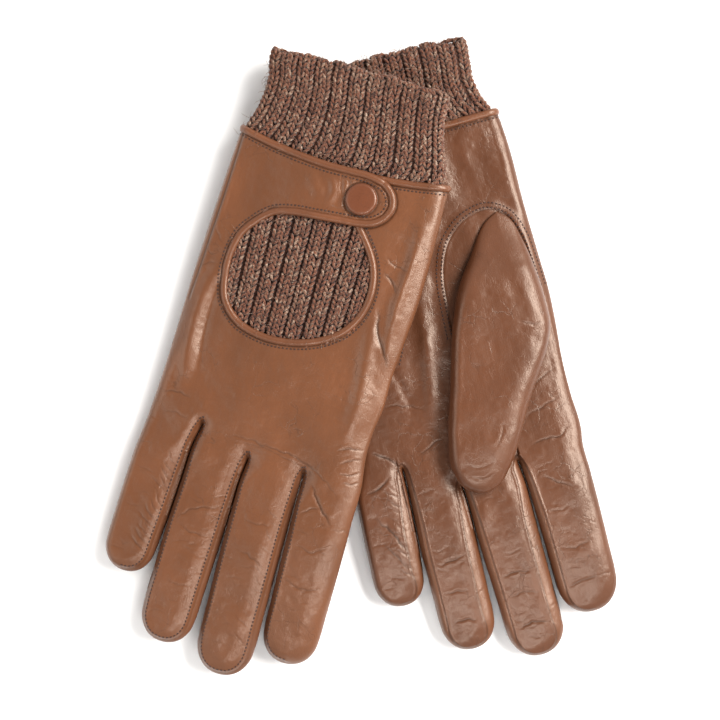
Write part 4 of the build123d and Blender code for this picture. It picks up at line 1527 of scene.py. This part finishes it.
def knit_legs(surface, wales, rows, seed, keep=None):
    """Every leg of every stitch. wales are (rib, offset) pairs in the surface's own measure."""
    draw = np.random.default_rng(seed)
    paths = []
    for centre, offset in wales:
        wander = draw.normal(0, 0.12)
        for row in rows:
            slip = draw.normal(0, 0.07, 2)
            for sign in (-1, 1):
                leg = sign * LEG_ACROSS * WALE * draw.uniform(0.94, 1.06)
                across = offset + wander + slip[0] + leg
                along = (row + LEG_ALONG + slip[1]) * ROW
                crown = 0.9 * (1 - (across / (RIB / 2)) ** 2) - 0.55
                depth = LEG_DEPTH * YARN + crown + draw.normal(0, 0.06)
                paths.append((np.full(5, centre), across, along, depth))
    centre, across, along, depth = (np.array([p[k] for p in paths]) for k in range(4))
    points, outward = surface(centre, across, along, depth)
    if keep is not None:
        kept = keep(points[:, 2])
        points, outward = points[kept], outward[kept]
    return points, outward


def to_world(glove, points, outward):
    """Points and directions of the glove's frame in the row frame."""
    flat = points.reshape(-1, 3)
    world = glove.place(flat[:, :2], flat[:, 2]).reshape(points.shape)
    axes = np.stack([glove.x, glove.y, glove.up * glove.z])
    return world, outward @ axes


def stray_fibres(world, out, count, seed):
    """Thin bent hairs that stand off the yarn, kept above the surface that the pair lies on."""
    draw = np.random.default_rng(seed)
    chosen = draw.choice(len(world), count)
    drift = draw.normal(0, 1, (count, 3))
    drift /= np.linalg.norm(drift, axis=1)[:, None]
    bend = draw.normal(0, 0.6, (count, 3))
    long = draw.uniform(1.5, 4.2, count)[:, None] * MM
    up = out[chosen, 2]
    hairs = []
    for t in np.linspace(0, 1, len(HAIR_RADIUS)):
        rise = up * (0.5 + 0.8 * math.sin(math.pi * t)) * MM
        hairs.append(world[chosen, 2] + rise + (drift * t + bend * t * t * 0.6) * long)
    hairs = np.stack(hairs, 1)
    hairs[..., 2] = np.maximum(hairs[..., 2], 0.0)
    return strand_tubes(hairs, np.repeat(up[:, None], len(HAIR_RADIUS), 1), HAIR_RADIUS * MM)


def add_yarn(name, glove, points, outward, fibres, seed):
    """Turn stitch legs in the glove's frame into one mesh, with a few stray fibres."""
    world, out = to_world(glove, points, outward)
    vertices, faces = strand_tubes(world, out, LEG_RADIUS * YARN * MM)
    hairs, hair_faces = stray_fibres(world, out, fibres, seed)
    draw = np.random.default_rng(seed + 1)
    # Painted shade: each leg darkens towards its ends, and its two end points are fully dark.
    ends = np.repeat(LEG_END_SHADE, LEG_SIDES)
    cavity = np.tile(np.r_[ends, 1.0, 1.0], len(world))
    tint = np.repeat(draw.uniform(0, 1, len(world)), len(ends) + 2)
    faces = np.vstack([faces, hair_faces + len(vertices)])
    vertices = np.vstack([vertices, hairs])
    return new_object(
        name, vertices, faces, yarn,
        attributes={
            "grain": vertices / MM,
            "cavity": np.r_[cavity, np.zeros(len(hairs))],
            "tint": np.r_[tint, np.full(len(hairs), 0.9)],
        },
    )


def cuff_surface(glove):
    """Maps (rib, across, along, depth) to a point on the flattened tube of the knit cuff."""
    left, right, top = glove.knit
    low_y, low_x = np.array(left).T
    high_y, high_x = np.array(right).T
    full = 0.5 * (np.interp(20.0, high_y, high_x) - np.interp(20.0, low_y, low_x))
    around = 4 * (full - glove.half) + 2 * math.pi * glove.half

    def surface(rib, across, along, depth):
        share = (rib / RIBS_AROUND + across / around) % 1.0
        on_back = share < 0.5
        rough_x = np.where(on_back, share * 4 - 1, 3 - share * 4)
        crown = top - 3.2 * np.clip(np.abs(rough_x) - 0.62, 0, 1) ** 2 / 0.14 + 0.5 * np.sin(rib * 2.1)
        # Past the crown the knit turns over and runs down inside
        over = np.clip((along - crown) / TURN_RADIUS, 0, math.pi)
        inside_run = np.clip(along - crown - math.pi * TURN_RADIUS, 0, None)
        y = np.minimum(along, crown) + TURN_RADIUS * np.sin(over) - inside_run
        inward = TURN_RADIUS * (1 - np.cos(over))
        dip = cuff_height(np.clip(rough_x, -1, 1) * 40) * smoothstep(12, 0, y)
        dip = dip * np.where(on_back, 1, PALM_DIP)
        # The section is a flat loop: half its thickness, its two ends, and the run along it
        b = glove.half - KNIT_LIFT + 1.9 * smoothstep(-1.5, 6.5, y - dip) - inward
        low = np.interp(y, low_y, low_x)
        high = np.interp(y, high_y, high_x)
        straight = np.maximum(0.5 * (high - low) - inward - b, 1)
        at = share * (4 * straight + 2 * math.pi * b)
        back_end = 2 * straight
        bow_end = back_end + math.pi * b
        palm_end = bow_end + 2 * straight
        zones = [at < back_end, at < bow_end, at < palm_end]
        bow = (at - back_end) / b
        last_bow = (at - palm_end) / b
        nx = np.select(zones, [0.0, np.sin(bow), 0.0], -np.sin(last_bow))
        nh = np.select(zones, [1.0, np.cos(bow), -1.0], -np.cos(last_bow))
        middle = np.select(zones, [at - straight, straight, straight + bow_end - at], -straight)
        points = np.stack([middle + b * nx + 0.5 * (low + high), y, b * nh], -1)
        turned = np.cos(over)
        outward = np.stack([nx * turned, np.sin(over), nh * turned], -1)
        return points + outward * depth[..., None], outward

    return surface


def knit_cuff(glove):
    """The rib-knit cuff: stitches round a flattened tube that turns over at its top."""
    surface = cuff_surface(glove)
    name = f"{glove.side}_knit_cuff_yarn"
    wales = [(rib + 0.5, sign * WALE / 2) for rib in range(RIBS_AROUND) for sign in (-1, 1)]
    rows = np.arange(-3, int(glove.knit[2] / ROW) + 4)
    points, outward = knit_legs(surface, wales, rows, 70 + glove.up)
    cuff = add_yarn(name, glove, points, outward, 1500, 80 + glove.up)
    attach(cuff, f"{glove.side}_hand")
    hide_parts(f"{glove.side}_knit_cuff")
    around = RIBS_AROUND * 8
    turn = glove.knit[2] - 1
    up = np.concatenate([np.arange(-6, turn, 1.2), turn + np.arange(0, 46, 0.6)])
    rib, along = np.meshgrid(np.arange(around) / 8, up, indexing="ij")
    in_rib = (rib % 1.0 - 0.5) * 2
    depth = -CORE_DEPTH - 0.35 * np.abs(in_rib) ** 4
    points = surface(rib, np.zeros_like(rib), along, depth)[0].reshape(-1, 3)
    world = glove.place(points[:, :2], points[:, 2])
    faces = grid_faces(around, len(up), closed_rows=True)
    if glove.up > 0:
        faces = faces[:, ::-1]
    # The core is made in the darker yarn copy: painted shade between the ribs and inside the cuff.
    core = new_object(
        f"{glove.side}_knit_cuff_core", world, faces, yarn_in_painted_shade, attributes={"grain": world / MM}
    )
    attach(core, f"{glove.side}_hand")


def window_height(glove, xy):
    """Height of the liner, which bulges a little in the window."""
    centre = (xy - np.array([-2.8, -51.0])) / np.array([34.0, 31.0])
    bulge = np.clip(1 - (centre ** 2).sum(-1), 0, 1)
    return glove.half - KNIT_LIFT + 1.25 * np.sqrt(bulge + 1e-6) + 0.3 * np.sin(xy[..., 0] / 7) * bulge


def window_knit(glove):
    """The rib knit that shows in the window and in the slot under the strap."""
    name = f"{glove.side}_window_yarn"
    near = Near(window_hole)

    def surface(rib, across, along, depth):
        spread = 1 + 0.0012 * (along + 50)
        x = -3.2 + ((rib - 0.5) * RIB + across) * spread - 0.035 * (along + 50)
        xy = np.stack([x, along], -1)
        points = np.concatenate([xy, (window_height(glove, xy) + depth)[..., None]], -1)
        outward = np.zeros_like(points)
        outward[..., 2] = 1
        return points, outward

    def keep(points):
        xy = points[:, :2]
        return inside(xy, window_hole) | (near(xy)[0] < 1.6)

    wales = [(rib, sign * WALE / 2) for rib in range(-4, 6) for sign in (-1, 1)]
    rows = np.arange(int(-84 / ROW), 0)
    points, outward = knit_legs(surface, wales, rows, 90 + glove.up, keep)
    patch = add_yarn(name, glove, points, outward, 500, 95 + glove.up)
    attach(patch, f"{glove.side}_hand")
    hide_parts(f"{glove.side}_knit_lining")
    xs = np.arange(-38, 34.1, 1.0)
    ys = np.arange(-84, 0.1, 1.0)
    grid = np.stack(np.meshgrid(xs, ys, indexing="ij"), -1).reshape(-1, 2)
    world = glove.place(grid, window_height(glove, grid) - CORE_DEPTH)
    faces = grid_faces(len(xs), len(ys))
    if glove.up < 0:
        faces = faces[:, ::-1]
    # The backing is made in the darker yarn copy: painted shade behind the stitch legs.
    backing = new_object(
        f"{glove.side}_window_backing", world, faces, yarn_in_painted_shade, attributes={"grain": world / MM}
    )
    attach(backing, f"{glove.side}_hand")


for glove in GLOVES:
    leather_shell(glove, glove.up)
    strap_leather(glove)
    bindings(glove)
    stitching(glove)
    snap_button(glove)
    thumb(glove)
    knit_cuff(glove)
    window_knit(glove)

# The CAD nodes that stay in sight are the snaps' metal parts
for node in frame["nodes"].values():
    if not node.hide_render:
        for slot in node.material_slots:
            slot.material = steel


# Floor, light and camera

FLOOR = -0.0008
FLOOR_HALF = 3.0
LENS = 90
SENSOR = 36
VIEW_WIDTH = 0.288
VIEW_LEVEL = 0.012


def floor():
    """Plain pale paper."""
    mesh = bpy.data.meshes.new("floor")
    corners = [(-1, -1), (1, -1), (1, 1), (-1, 1)]
    mesh.from_pydata([(FLOOR_HALF * x, FLOOR_HALF * y, FLOOR) for x, y in corners], [], [(0, 1, 2, 3)])
    n = Nodes("floor_paper")
    at = n.add("ShaderNodeTexCoord").outputs["Object"]
    n.set("Base Color", n.mix(n.noise(at, 3.0), (0.93, 0.93, 0.93), (0.95, 0.95, 0.95)))
    n.set("Roughness", 0.9)
    n.set("Specular IOR Level", 0.1)
    mesh.materials.append(n.material)
    made = bpy.data.objects.new("floor", mesh)
    bpy.context.scene.collection.objects.link(made)


def softbox(name, at, target, width, height, watts, colour=(1, 1, 1)):
    """A rectangular area light turned towards a target."""
    data = bpy.data.lights.new(name, "AREA")
    data.shape = "RECTANGLE"
    data.size = width
    data.size_y = height
    data.energy = watts
    data.color = colour
    light = bpy.data.objects.new(name, data)
    bpy.context.scene.collection.objects.link(light)
    light.location = at
    light.rotation_euler = (Vector(target) - Vector(at)).to_track_quat("-Z", "Y").to_euler()


def studio_sky():
    """A pale surround that darkens straight above, so that the leather doesn't reflect it flatly."""
    world = bpy.data.worlds.new("studio")
    world.use_nodes = True
    nodes = world.node_tree.nodes
    links = world.node_tree.links
    direction = nodes.new("ShaderNodeTexCoord").outputs["Generated"]
    split = nodes.new("ShaderNodeSeparateXYZ")
    links.new(direction, split.inputs[0])
    shade = nodes.new("ShaderNodeMapRange")
    for key, value in (("From Min", 0.78), ("From Max", 0.95), ("To Min", 0.67), ("To Max", 0.06)):
        shade.inputs[key].default_value = value
    links.new(split.outputs["Z"], shade.inputs["Value"])
    links.new(shade.outputs["Result"], nodes["Background"].inputs["Strength"])
    nodes["Background"].inputs["Color"].default_value = (1, 0.975, 0.95, 1)
    bpy.context.scene.world = world


def overhead_camera():
    """Looks straight down, so far up that the view is VIEW_WIDTH across at VIEW_LEVEL."""
    data = bpy.data.cameras.new("camera")
    data.lens = LENS
    data.sensor_width = SENSOR
    camera = bpy.data.objects.new("camera", data)
    bpy.context.scene.collection.objects.link(camera)
    camera.location = (0.0002, 0.00013, VIEW_WIDTH * LENS / SENSOR + VIEW_LEVEL)
    camera.rotation_euler = (0, 0, 0)
    bpy.context.scene.camera = camera


floor()
softbox("key", (0.72, 0.26, 0.82), (0, 0, 0), 1.0, 0.42, 26.5, (1, 0.975, 0.94))
softbox("low_strip", (0.12, -0.55, 0.98), (0, -0.05, 0), 0.7, 0.22, 5.0)
softbox("fill", (-0.90, -0.10, 0.60), (0, 0, 0), 1.0, 0.5, 3.0, (1, 0.96, 0.92))
studio_sky()
overhead_camera()
bpy.context.scene.view_settings.view_transform = "Standard"
